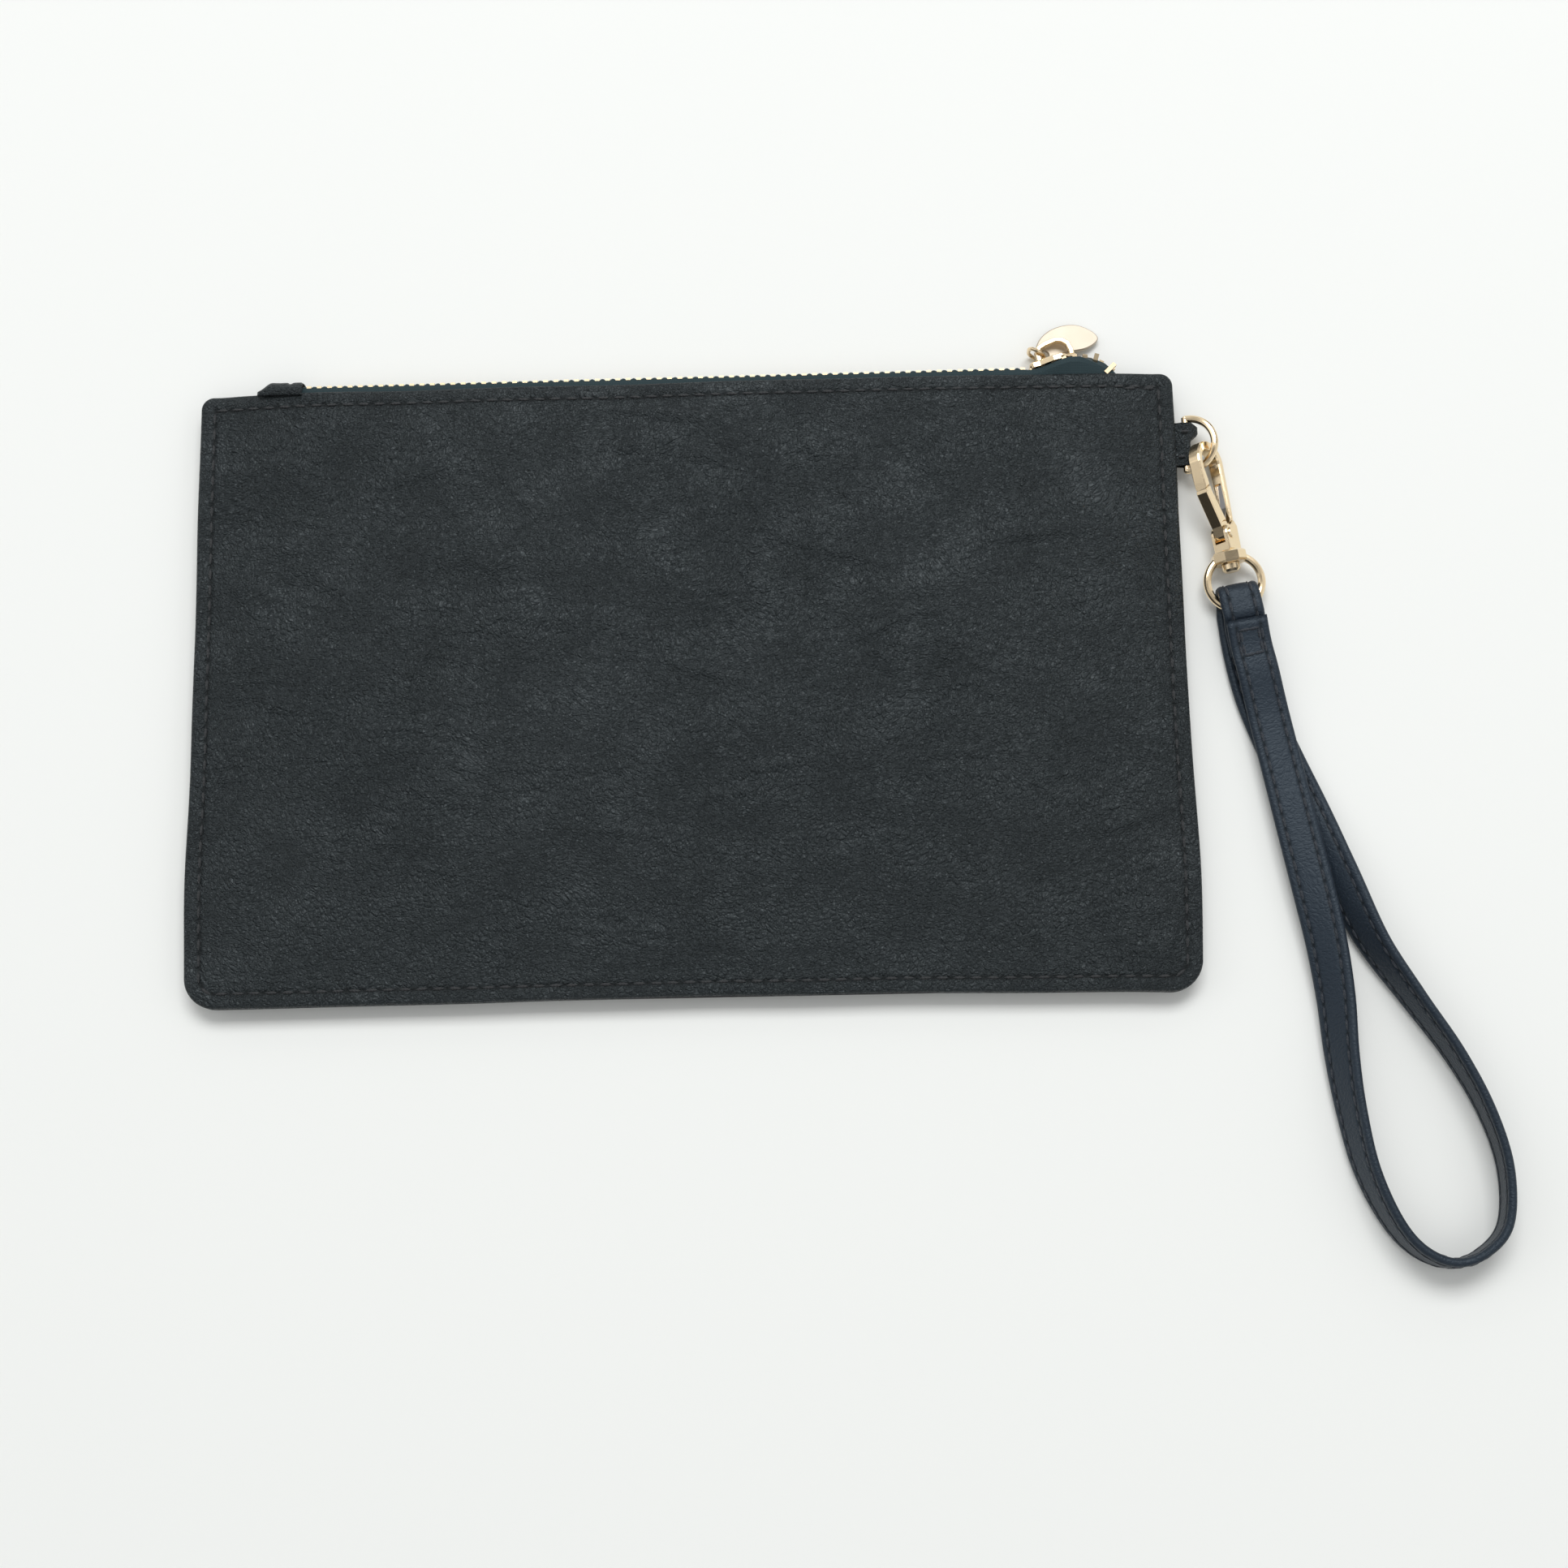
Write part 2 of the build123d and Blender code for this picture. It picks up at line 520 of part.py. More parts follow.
def make_hook():
    cy = hook_top_y - hook_out_r
    icy = hook_top_y - bend_t - hook_in_r
    icx = hook_cx - 0.15
    out_l, out_r = hook_cx - hook_out_r, hook_cx + hook_out_r
    in_l, in_r = icx - hook_in_r, icx + hook_in_r
    low_y = nose_y - 1.2
    edge = Polyline((pivot_x, 6.0), (spine_outer(6), 6.0), (spine_outer(14), 14.0), (out_r, cy))
    edge += ThreePointArc((out_r, cy), (hook_cx, hook_top_y), (out_l, cy))
    edge += Polyline((out_l, cy), (out_l + 0.1, nose_y + 1.2), (out_l + 0.4, low_y),
                     (in_l + 0.8, low_y), (in_l + 0.6, nose_y + 1.9), (in_l, icy - 1.6),
                     (in_l, icy))
    edge += ThreePointArc((in_l, icy), (icx, icy + hook_in_r), (in_r, icy))
    edge += Polyline((in_r, icy), (in_r - 0.3, 9.4), (1.5, 7.6), (pivot_x, 6.0))
    outline = make_face(edge)
    swing = Pos(pivot_x, pivot_y) * Circle(joint_radius() + nose_gap / 2)
    outline -= swing & Pos(out_l, low_y) * Rectangle(8.4, 8)
    hook = extrude(outline, hook_t / 2, both=True)
    hook = chamfer(hook.faces().filter_by(Axis.Z).edges(), hook_t * 0.11)
    low = make_face(Polyline(
        (-2.3, base_y), (2.9, base_y), (spine_outer(7.4), 7.4), (2.25, 8.8), (1.0, 7.9),
        (-2.3, 5.6), close=True)) + Pos(pivot_x, pivot_y) * Circle(cheek_half)
    cheeks = extrude(low, cheek_half, both=True)
    cheeks = chamfer(cheeks.faces().filter_by(Axis.Z).edges(), 0.3)
    slot_half = gate_half + gate_gap
    slot = Pos(-2.1, 6.9, 0) * Box(7.7, 7.0, 2 * slot_half)
    channel = make_face(Polyline(
        (in_r - 1.2, 8.0), (spine_outer(8) - 0.9, 8.0), (spine_outer(18.2) - 1.0, 18.2),
        (in_r - 1.2, 18.2), close=True))
    body = hook + cheeks - slot - extrude(channel, 0.8, both=True)
    body -= Pos(pivot_x, pivot_y, 0) * Cylinder(pin_r, 10)
    body -= Pos(0, base_y, 0) * Rot(90, 0, 0) * Cylinder(post_r, 4)
    return clasp_frame() * body


def make_gate():
    """Sprung gate from the pivot up to the nose."""
    left = hook_cx - hook_out_r + 0.3
    top_y = nose_y + 1.0
    bar = make_face(Polyline(
        (left, top_y), (left + 2.4, top_y), (left + 2.35, nose_y - 0.5), (1.15, 7.1),
        (-1.9, 5.0), (-2.35, 7.3), (left, nose_y - 1.4), close=True))
    bar = bar & Pos(pivot_x, pivot_y) * Circle(joint_radius() - nose_gap / 2)
    eye = Pos(pivot_x, pivot_y) * Circle(1.6)
    tongue = extrude(eye + bar, gate_half, both=True)
    clear = cheek_half + 0.8
    wide = extrude(bar - Pos(pivot_x, pivot_y) * Circle(clear), hook_t / 2, both=True)
    wide = chamfer(wide.faces().filter_by(Axis.Z).edges(), hook_t * 0.09)
    gate = tongue + wide
    gate -= Pos(pivot_x, pivot_y, 0) * Cylinder(pin_r + pin_clear, 10)
    return clasp_frame() * gate


def make_gate_pin():
    """Pin through the cheeks with a low domed head on each face."""
    pin = Cylinder(pin_r, 2 * cheek_half)
    for side in (1, -1):
        head = Cylinder(pin_head_r, pin_head_t)
        face = head.faces().sort_by(Axis.Z)[-1 if side > 0 else 0]
        head = chamfer(face.edges(), pin_head_t * 0.6)
        pin += Pos(0, 0, side * (cheek_half + pin_head_t / 2)) * head
    return clasp_frame() * Pos(pivot_x, pivot_y, 0) * pin


def make_gate_spring():
    """Leaf in the spine's channel that presses the gate out against the nose."""
    a = (spine_outer(17.9) - 1.0, 17.9)
    b = (spine_outer(12.0) - 1.0, 12.0)
    c = (1.35, 9.5)
    d = (0.72, 8.85)
    t = spring_t
    leaf = make_face(Polyline(
        a, b, c, d, (d[0] - 0.05, d[1] + t), (c[0] - t * 0.7, c[1] + t), (b[0] - t, b[1] + 0.2),
        (a[0] - t, a[1]), close=True))
    return clasp_frame() * extrude(leaf, spring_w / 2 - 0.2, both=True)


def make_swivel_rivet():
    """Post pressed into the hook, with its head inside the swivel ring."""
    top = base_y + 1.8
    low = -collar_half - swivel_gap
    shaft = Cylinder(post_r, top - low + 0.4)
    head = Cylinder(post_head_r, post_head_t)
    head = chamfer(head.faces().sort_by(Axis.Z)[0].edges(), 0.5)
    post = Pos(0, 0, (top + low - 0.4) / 2) * shaft + Pos(0, 0, low - post_head_t / 2) * head
    return clasp_frame() * Rot(-90, 0, 0) * post


def make_swivel_ring():
    """Round ring with an octagonal collar that turns on the post."""
    w = swivel_wire / 2
    ring = Pos(0, swivel_cy, 0) * wire_arc(swivel_r, w, 360)
    across = collar_flats / cos(pi / 8)
    collar = Rot(90, 0, 0) * extrude(RegularPolygon(across / 2, 8, rotation=22.5), collar_half,
                                     both=True)
    collar = chamfer(collar.faces().filter_by(Axis.Y).edges(), 0.45)
    bore = Rot(90, 0, 0) * Cylinder(post_r + post_clear, 6)
    room = Pos(0, -collar_half - swivel_gap - post_head_t / 2 - 0.06, 0) * Rot(90, 0, 0) * Cylinder(
        post_head_r + 0.15, post_head_t + 2 * swivel_gap + 0.12)
    return swivel_frame() * (ring + collar - bore - room)


# ---- wrist strap -------------------------------------------------------------------
def catmull(rows, steps):
    """Smooth reading of a table of points, with its ends kept."""
    ends = [tuple(2 * a - b for a, b in zip(rows[0], rows[1]))]
    tail = [tuple(2 * a - b for a, b in zip(rows[-1], rows[-2]))]
    pts = ends + list(rows) + tail
    out = []
    for i in range(1, len(pts) - 2):
        for k in range(steps):
            u = k / steps
            out.append(tuple(
                0.5 * (2 * b + (c - a) * u + (2 * a - 5 * b + 4 * c - d) * u * u
                       + (3 * b - a - 3 * c + d) * u**3)
                for a, b, c, d in zip(pts[i - 1], pts[i], pts[i + 1], pts[i + 2])))
    out.append(tuple(rows[-1]))
    return out


def strap_sections():
    """Frames along the strap as (centre, width direction, outer normal)."""
    frame = swivel_frame()
    lean = radians(clasp_lean)
    along = Vector(-sin(lean), cos(lean), 0)
    across = Vector(cos(lean), sin(lean), 0)
    up = Vector(0, 0, 1)
    wire = frame * Pos(0, swivel_cy - swivel_r, 0)
    hub = wire.position
    half_gap = (fold_gap + strap_t) / 2
    low_z = strap_t / 2 + 0.05
    apex = frame * Pos(0, fold_apex, 0)
    top = apex.position.dot(along) - strap_t / 2
    base = hub.dot(across)
    sections = []
    tail = [(-11.0, low_z + strap_t + strap_gap), (-8.0, low_z + strap_t + strap_gap),
            (-4.6, low_z + strap_t + 0.55), (-2.2, low_z + 2 * half_gap - 0.12),
            (0.4, low_z + 2 * half_gap)]
    mid = hub.dot(along)
    for off, z in tail:
        sections.append((base, mid + off, z, 180.0))
    centre = top - half_gap
    for k in range(0, 9):
        a = pi * (1 - k / 8)
        y = centre + half_gap * sin(a)
        z = low_z + half_gap - half_gap * cos(a)
        sections.append((base, y, z, degrees(a)))
    out = []
    for x, y, z, turn in sections:
        a = radians(turn)
        normal = along * sin(a) - up * cos(a)
        out.append((across * x + along * y + up * z, across, normal))
    route = catmull([(clasp_x + x, clasp_y + y, z, a) for x, y, z, a in strap_route], 2)
    for i, (x, y, z, turn) in enumerate(route):
        before = route[max(i - 1, 0)]
        after = route[min(i + 1, len(route) - 1)]
        run = Vector(after[0] - before[0], after[1] - before[1], 0).normalized()
        outward = up.cross(run)
        a = radians(turn)
        normal = outward * sin(a) - up * cos(a)
        full = Vector(after[0] - before[0], after[1] - before[1], after[2] - before[2])
        normal = (normal - full * (normal.dot(full) / full.dot(full))).normalized()
        width = normal.cross(full).normalized()
        reach = abs(width.Z) * strap_w / 2 + abs(normal.Z) * strap_t / 2
        out.append((Vector(x, y, max(z, reach + 0.05)), width, normal))
    return out


def strap_outline(centre, width, normal):
    w, t = width * (strap_w / 2), normal * (strap_t / 2)
    return Wire.make_polygon([centre + w + t, centre - w + t, centre - w - t, centre + w - t])


def make_strap():
    wires = [strap_outline(*section) for section in strap_sections()]
    return Solid.make_loft(wires, ruled=True)


# ---- everything --------------------------------------------------------------------
def make_all():
    table = chain_table()
    make_pouch()
    for side, name in ((1, "front"), (-1, "back")):
        parts["zipper_tape_" + name] = make_tape(side, table)
        parts["zipper_teeth_" + name] = make_teeth(side, table)
        parts["top_stop_" + name] = make_stop(side, table)
    parts["bottom_stop"] = make_bottom_stop()
    parts["zipper_end_tab"] = make_end_tab()
    parts["slider_body"] = make_slider()
    parts["pull_link"] = make_link()
    parts["pull_tab"] = make_pull_tab()
    parts["side_tab"] = make_side_tab()
    parts["side_ring"] = make_side_ring()
    parts["hook_body"] = make_hook()
    parts["hook_gate"] = make_gate()
    parts["gate_pin"] = make_gate_pin()
    parts["gate_spring"] = make_gate_spring()
    parts["swivel_rivet"] = make_swivel_rivet()
    parts["swivel_ring"] = make_swivel_ring()
    parts["wrist_strap"] = make_strap()


make_all()
os.makedirs("parts", exist_ok=True)
for part_name, solid in parts.items():
    export_step(solid, "parts/" + part_name + ".step")
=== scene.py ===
"""Wristlet wallet add-on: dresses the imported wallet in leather, thread and metal, and sets the stage."""
import math

import bpy
import numpy as np
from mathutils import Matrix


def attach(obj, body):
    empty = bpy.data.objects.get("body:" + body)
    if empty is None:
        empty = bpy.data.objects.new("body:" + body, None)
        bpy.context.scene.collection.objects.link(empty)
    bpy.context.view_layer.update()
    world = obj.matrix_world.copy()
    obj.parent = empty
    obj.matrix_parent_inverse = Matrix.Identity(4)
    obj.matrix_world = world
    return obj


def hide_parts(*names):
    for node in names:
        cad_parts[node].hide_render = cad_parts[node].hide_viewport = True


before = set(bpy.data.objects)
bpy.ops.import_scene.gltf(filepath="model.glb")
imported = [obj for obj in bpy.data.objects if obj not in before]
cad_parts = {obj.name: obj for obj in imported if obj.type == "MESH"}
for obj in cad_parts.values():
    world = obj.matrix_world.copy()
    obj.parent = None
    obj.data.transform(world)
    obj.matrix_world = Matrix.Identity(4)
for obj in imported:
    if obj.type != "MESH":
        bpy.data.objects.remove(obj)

bl_info = {
    "name": "Wristlet Wallet",
    "version": (1, 0, 0),
    "blender": (4, 5, 0),
    "location": "View3D > Sidebar > Wristlet",
    "description": "Builds the leather, sewing and metal looks of a zipped wristlet wallet",
    "category": "Object",
}

MM = 0.001
PANEL_HALF = 115.0
PANEL_LOW = -73.0
PANEL_TOP = 72.8
SEAM_Z = 4.2
SEAM_EDGE = 4.5


# ---- numbers and noise --------------------------------------------------------------
def hash2(ix, iy, seed):
    """Repeatable random angle for each whole-number cell corner."""
    n = (ix.astype(np.int64) * 374761393 + iy.astype(np.int64) * 668265263 + seed * 144665)
    n = n & 0xFFFFFFFF
    n = ((n ^ (n >> 13)) * 1274126177) & 0xFFFFFFFF
    n = n ^ (n >> 16)
    return (n & 0xFFFF) / 65535.0 * 2 * np.pi


def noise2(x, y, seed=0):
    """Gradient noise: at each corner a slope, blended by the quintic 6t^5 - 15t^4 + 10t^3."""
    x, y = np.broadcast_arrays(np.asarray(x, float), np.asarray(y, float))
    ix, iy = np.floor(x), np.floor(y)
    fx, fy = x - ix, y - iy
    ux = fx * fx * fx * (fx * (fx * 6 - 15) + 10)
    uy = fy * fy * fy * (fy * (fy * 6 - 15) + 10)

    def corner(dx, dy):
        a = hash2(ix + dx, iy + dy, seed)
        return np.cos(a) * (fx - dx) + np.sin(a) * (fy - dy)

    low = corner(0, 0) * (1 - ux) + corner(1, 0) * ux
    high = corner(0, 1) * (1 - ux) + corner(1, 1) * ux
    return (low * (1 - uy) + high * uy) * 1.5


def fbm(x, y, seed=0, octaves=3):
    """Sum of noise at doubling frequency and halving height."""
    total = 0.0
    for k in range(octaves):
        total = total + noise2(x * 2**k, y * 2**k, seed + 17 * k) * 0.5**k
    return total


def ridge(x, y, seed=0):
    """Thin crests where the noise crosses zero: (1 - |n|) to the sixth power."""
    return np.clip(1 - np.abs(noise2(x, y, seed)) * 1.6, 0, 1) ** 6


def smooth(a, b, v):
    """Smooth step from 0 at a to 1 at b: 3t^2 - 2t^3."""
    t = np.clip((np.asarray(v, float) - a) / (b - a), 0, 1)
    return t * t * (3 - 2 * t)


def hump(v, width):
    """Bell curve: exp(-(v / width)^2)."""
    return np.exp(-((v / width) ** 2))


def beat(phase):
    """Raised cosine: 1 at whole numbers, 0 half way between them."""
    return 0.5 + 0.5 * np.cos(2 * np.pi * phase)


def unit(v):
    """Rows scaled to length one."""
    return v / np.linalg.norm(v, axis=1, keepdims=True)


def square_to(v, axis):
    """Rows of v less their share along axis, scaled to length one."""
    return unit(v - axis * np.sum(v * axis, 1, keepdims=True))


def stations(path):
    """Distance along a polyline at each of its points."""
    return np.concatenate([[0], np.cumsum(np.linalg.norm(np.diff(path, axis=0), axis=1))])


def read_rows(rows, s, at):
    """Rows known at stations s, read at other stations along straight lines."""
    return np.stack([np.interp(at, s, column) for column in rows.T], -1)


# ---- meshes ---------------------------------------------------------------------------
def make_object(name, verts, faces, material):
    """Mesh object at the origin from arrays in millimetres."""
    mesh = bpy.data.meshes.new(name)
    verts = np.asarray(verts, float).reshape(-1, 3) * MM
    groups = [np.asarray(f, np.int32) for f in (faces if isinstance(faces, list) else [faces])]
    loops = np.concatenate([f.ravel() for f in groups])
    sizes = np.concatenate([np.full(len(f), f.shape[1]) for f in groups])
    starts = np.concatenate([[0], np.cumsum(sizes)[:-1]]).astype(np.int32)
    mesh.vertices.add(len(verts))
    mesh.vertices.foreach_set("co", verts.ravel())
    mesh.loops.add(len(loops))
    mesh.loops.foreach_set("vertex_index", loops)
    mesh.polygons.add(len(sizes))
    mesh.polygons.foreach_set("loop_start", starts)
    mesh.polygons.foreach_set("use_smooth", np.full(len(sizes), True))
    mesh.update(calc_edges=True)
    mesh.validate()
    obj = bpy.data.objects.new(name, mesh)
    bpy.context.scene.collection.objects.link(obj)
    mesh.materials.append(material)
    return obj


def add_shade(obj, values):
    """Painted shade for each point, 0 where none is painted, read by the leather."""
    layer = obj.data.attributes.new("painted_shade", "FLOAT", "POINT")
    layer.data.foreach_set("value", np.asarray(values, np.float32))
    return obj


def grid_faces(nu, nv, wrap=False):
    """Quads of a grid of nu by nv points, rows first, each row closed on itself if wrapped."""
    a, b = np.meshgrid(np.arange(nu - 1), np.arange(nv if wrap else nv - 1), indexing="ij")
    b2 = (b + 1) % nv
    quads = np.stack([a * nv + b, (a + 1) * nv + b, (a + 1) * nv + b2, a * nv + b2], -1)
    return quads.reshape(-1, 4)


def tube_faces(steps, n):
    """Faces of a tube of steps rings of n points, closed by fans to two poles that follow."""
    a = np.arange(n)
    b, last = np.roll(a, -1), (steps - 1) * n
    first_fan = np.column_stack([b, a, np.full(n, steps * n)])
    last_fan = np.column_stack([a + last, b + last, np.full(n, steps * n + 1)])
    return [grid_faces(steps, n, wrap=True), first_fan, last_fan]


def band_faces(steps, n):
    """Faces of a folded band of steps sections of n points, its two ends closed by strips."""
    strip = np.arange(n // 2 - 1)
    cap = np.column_stack([strip, strip + 1, n - 2 - strip, n - 1 - strip])
    return np.concatenate([grid_faces(steps, n, wrap=True), cap[:, ::-1], cap + (steps - 1) * n])


def capsules(name, centre, along, up, length, radius, material):
    """Short rounded threads: each a tube whose radius follows sqrt(1 - t^4) along its
    length, laid at centre, pointing along, a little flattened."""
    sides, rings, flat = 6, 5, 0.75
    centre, along, up = (np.asarray(a, float).reshape(-1, 3) for a in (centre, along, up))
    along = unit(along)
    up = square_to(up, along)
    side = np.cross(up, along)
    t = np.linspace(-1, 1, rings)
    r = np.sqrt(np.clip(1 - t**4, 0.02, 1))[:, None]
    a = np.linspace(0, 2 * np.pi, sides, endpoint=False)
    ahead = np.repeat(t * 0.5, sides)[None, :, None]
    across = (r * np.cos(a)).ravel()[None, :, None] * radius
    high = (r * np.sin(a)).ravel()[None, :, None] * radius * flat
    length = np.broadcast_to(np.asarray(length, float), (len(centre),))[:, None, None]
    pts = centre[:, None] + along[:, None] * ahead * length + side[:, None] * across + up[:, None] * high
    ends = np.array([[0, 1, 2, 3], [0, 3, 4, 5]])
    one = np.concatenate([grid_faces(rings, sides, wrap=True)[:, ::-1], ends,
                          ends[:, ::-1] + (rings - 1) * sides])
    faces = (one[None] + (np.arange(len(centre)) * rings * sides)[:, None, None]).reshape(-1, 4)
    return make_object(name, pts.reshape(-1, 3), faces, material)


def even_points(path, pitch):
    """Points and directions at an even pitch along a polyline."""
    s = stations(path)
    count = max(int(round(s[-1] / pitch)), 1)
    at = (np.arange(count) + 0.5) * s[-1] / count
    ahead = 0.4 * pitch
    return read_rows(path, s, at), read_rows(path, s, at + ahead) - read_rows(path, s, at - ahead)


# ---- materials ------------------------------------------------------------------------
def node(tree, kind, **values):
    """Adds a shader node and sets constant values on its own sockets."""
    n = tree.nodes.new(kind)
    for key, value in values.items():
        if hasattr(n, key) and key not in n.inputs:
            setattr(n, key, value)
        else:
            n.inputs[key.replace("_", " ")].default_value = value
    return n


def start_material(name):
    """New node material holding one principled shader."""
    mat = bpy.data.materials.new(name)
    mat.use_nodes = True
    return mat, mat.node_tree, mat.node_tree.nodes["Principled BSDF"]


def texture(tree, kind, **values):
    """A texture read at the object's own coordinates."""
    coord = tree.nodes.get("Texture Coordinate") or node(tree, "ShaderNodeTexCoord")
    made = node(tree, kind, **values)
    tree.links.new(coord.outputs["Object"], made.inputs["Vector"])
    return made


def raised(tree, height, strength, depth, under=None):
    """Bump of a height on top of the relief under it."""
    bump = node(tree, "ShaderNodeBump", Strength=min(strength, 1.0), Distance=depth)
    tree.links.new(height, bump.inputs["Height"])
    if under:
        tree.links.new(under, bump.inputs["Normal"])
    return bump.outputs["Normal"]


def tinted(tree, color, low, high, share):
    """Color from low to high times itself (the mix's sockets 6 and 7), blended by a share."""
    mix = node(tree, "ShaderNodeMix", data_type="RGBA")
    mix.inputs[6].default_value = (*[min(c * low, 1) for c in color], 1)
    mix.inputs[7].default_value = (*[min(c * high, 1) for c in color], 1)
    tree.links.new(share, mix.inputs[0])
    return mix.outputs[2]


def remapped(tree, value, **limits):
    """A value carried from one range into another."""
    ramp = node(tree, "ShaderNodeMapRange", **limits)
    tree.links.new(value, ramp.inputs["Value"])
    return ramp.outputs["Result"]


def times(tree, first, second):
    """Product of two values."""
    product = node(tree, "ShaderNodeMath", operation="MULTIPLY")
    tree.links.new(first, product.inputs[0])
    tree.links.new(second, product.inputs[1])
    return product.outputs["Value"]


def leather_material(name, color, settings, smooth_skin=False):
    """Pebbled leather in object space: fine creases, two sizes of domed cells that come
    and go in patches, and pores. They drive bump, gloss and tint; the point attribute of
    painted shade darkens the colour where the pieces paint shade, and roughens it."""
    mat, tree, bsdf = start_material(name)
    link = tree.links.new
    here = node(tree, "ShaderNodeTexCoord").outputs["Object"]
    for drift, reach in ((70.0, 0.007), (420.0, 0.0006)):
        warp = texture(tree, "ShaderNodeTexNoise", Scale=drift, Detail=0.0)
        bend = node(tree, "ShaderNodeVectorMath", operation="MULTIPLY_ADD")
        bend.inputs[1].default_value = (reach, reach, reach)
        link(warp.outputs["Color"], bend.inputs[0])
        link(here, bend.inputs[2])
        here = bend.outputs["Vector"]
    patch = texture(tree, "ShaderNodeTexNoise", Scale=30.0, Detail=4.0)
    amount = remapped(tree, patch.outputs["Fac"], From_Min=0.38, From_Max=0.6, To_Min=0.8)
    strength = settings.grain * (0.3 if smooth_skin else 1.0)
    normal = None
    # Cells per metre, stretch across, width of the crack, strength, depth in metres.
    for scale, stretch, crack, power, depth in (
            (95.0, 3.2, 0.035, 0.45, 0.0002), (760.0, 1.2, 0.3, 0.95, 0.00019),
            (1700.0, 1.1, 0.3, 0.9, 0.0001)):
        place_at = node(tree, "ShaderNodeMapping")
        place_at.inputs["Scale"].default_value = (1.0, stretch, 1.0)
        cells = node(tree, "ShaderNodeTexVoronoi", feature="DISTANCE_TO_EDGE", Scale=scale)
        link(here, place_at.inputs["Vector"])
        link(place_at.outputs["Vector"], cells.inputs["Vector"])
        dome = remapped(tree, cells.outputs["Distance"], interpolation_type="SMOOTHSTEP",
                        From_Max=crack)
        normal = raised(tree, times(tree, dome, amount), power * strength, depth, normal)
    pores = texture(tree, "ShaderNodeTexNoise", Scale=2600.0, Detail=3.0)
    normal = raised(tree, pores.outputs["Fac"], 0.32 * strength, 0.00006, normal)
    link(normal, bsdf.inputs["Normal"])
    # Painted shade: the point attribute darkens the base colour towards 0.12 of it and adds roughness.
    painted_shade = node(tree, "ShaderNodeAttribute", attribute_name="painted_shade")
    painted_shade_mix = node(tree, "ShaderNodeMix", data_type="RGBA")
    painted_shade_mix.inputs[7].default_value = (*[c * 0.12 for c in color], 1)
    link(tinted(tree, color, 0.93, 1.07, patch.outputs["Fac"]), painted_shade_mix.inputs[6])
    link(painted_shade.outputs["Fac"], painted_shade_mix.inputs[0])
    link(painted_shade_mix.outputs[2], bsdf.inputs["Base Color"])
    low, high = (0.46, 0.54) if smooth_skin else (0.41, 0.45)
    rough = remapped(tree, patch.outputs["Fac"], To_Min=low, To_Max=high)
    roughness_in_shade = node(tree, "ShaderNodeMath", operation="MULTIPLY_ADD")
    roughness_in_shade.inputs[1].default_value = 0.35
    link(painted_shade.outputs["Fac"], roughness_in_shade.inputs[0])
    link(rough, roughness_in_shade.inputs[2])
    link(roughness_in_shade.outputs["Value"], bsdf.inputs["Roughness"])
    bsdf.inputs["Specular IOR Level"].default_value = 0.45
    gloss = (0.78, 0.91, 1.0, 1) if smooth_skin else (0.86, 0.96, 1.0, 1)
    bsdf.inputs["Specular Tint"].default_value = gloss
    bsdf.inputs["Sheen Weight"].default_value = 0.03
    bsdf.inputs["Sheen Roughness"].default_value = 0.5
    return mat


def thread_material(name, color):
    """Twisted thread: fine diagonal waves along the object's axes."""
    mat, tree, bsdf = start_material(name)
    twist = texture(tree, "ShaderNodeTexWave", wave_type="BANDS", bands_direction="DIAGONAL",
                    Scale=900.0, Distortion=1.5)
    tree.links.new(raised(tree, twist.outputs["Fac"], 0.5, 0.00008), bsdf.inputs["Normal"])
    bsdf.inputs["Base Color"].default_value = (*color, 1)
    bsdf.inputs["Roughness"].default_value = 0.6
    bsdf.inputs["Sheen Weight"].default_value = 0.2
    return mat


def cloth_material(name, color, scale):
    """Woven cloth: two crossed sets of fine waves, with a faint sheen."""
    mat, tree, bsdf = start_material(name)
    warp, weft = (texture(tree, "ShaderNodeTexWave", wave_type="BANDS", bands_direction=way,
                          Scale=scale, Distortion=0.6).outputs["Fac"] for way in "XY")
    normal = raised(tree, times(tree, warp, weft), 0.6, 0.0001)
    tree.links.new(normal, bsdf.inputs["Normal"])
    bsdf.inputs["Base Color"].default_value = (*color, 1)
    bsdf.inputs["Roughness"].default_value = 0.8
    bsdf.inputs["Sheen Weight"].default_value = 0.3
    return mat


def metal_material(name, color, roughness, wear, metallic=1.0):
    """Polished plate: fine scratches and slow tint changes in object space."""
    mat, tree, bsdf = start_material(name)
    link = tree.links.new
    slow = texture(tree, "ShaderNodeTexNoise", Scale=260.0, Detail=3.0)
    fine = texture(tree, "ShaderNodeTexNoise", Scale=3000.0, Detail=2.0)
    link(tinted(tree, color, 0.94, 1.04, slow.outputs["Fac"]), bsdf.inputs["Base Color"])
    rough = remapped(tree, slow.outputs["Fac"], To_Min=roughness, To_Max=roughness + 0.1)
    link(rough, bsdf.inputs["Roughness"])
    link(raised(tree, fine.outputs["Fac"], wear, 0.0001), bsdf.inputs["Normal"])
    bsdf.inputs["Metallic"].default_value = metallic
    return mat


def floor_material(color):
    """Smooth white paper with a barely visible tooth."""
    mat, tree, bsdf = start_material("floor_paper")
    fibre = texture(tree, "ShaderNodeTexNoise", Scale=900.0, Detail=2.0)
    tree.links.new(raised(tree, fibre.outputs["Fac"], 0.02, 0.0001), bsdf.inputs["Normal"])
    bsdf.inputs["Base Color"].default_value = (*color, 1)
    bsdf.inputs["Roughness"].default_value = 0.9
    return mat


# ---- pouch leather --------------------------------------------------------------------
FRONT_RISE = 3.5
BACK_RISE = 2.7
LEATHER_T = 1.3
STITCH_INSET = 3.5
STITCH_LIFT = 0.18
CORNER_R = 7.3
TOP_CORNER_R = 3.0
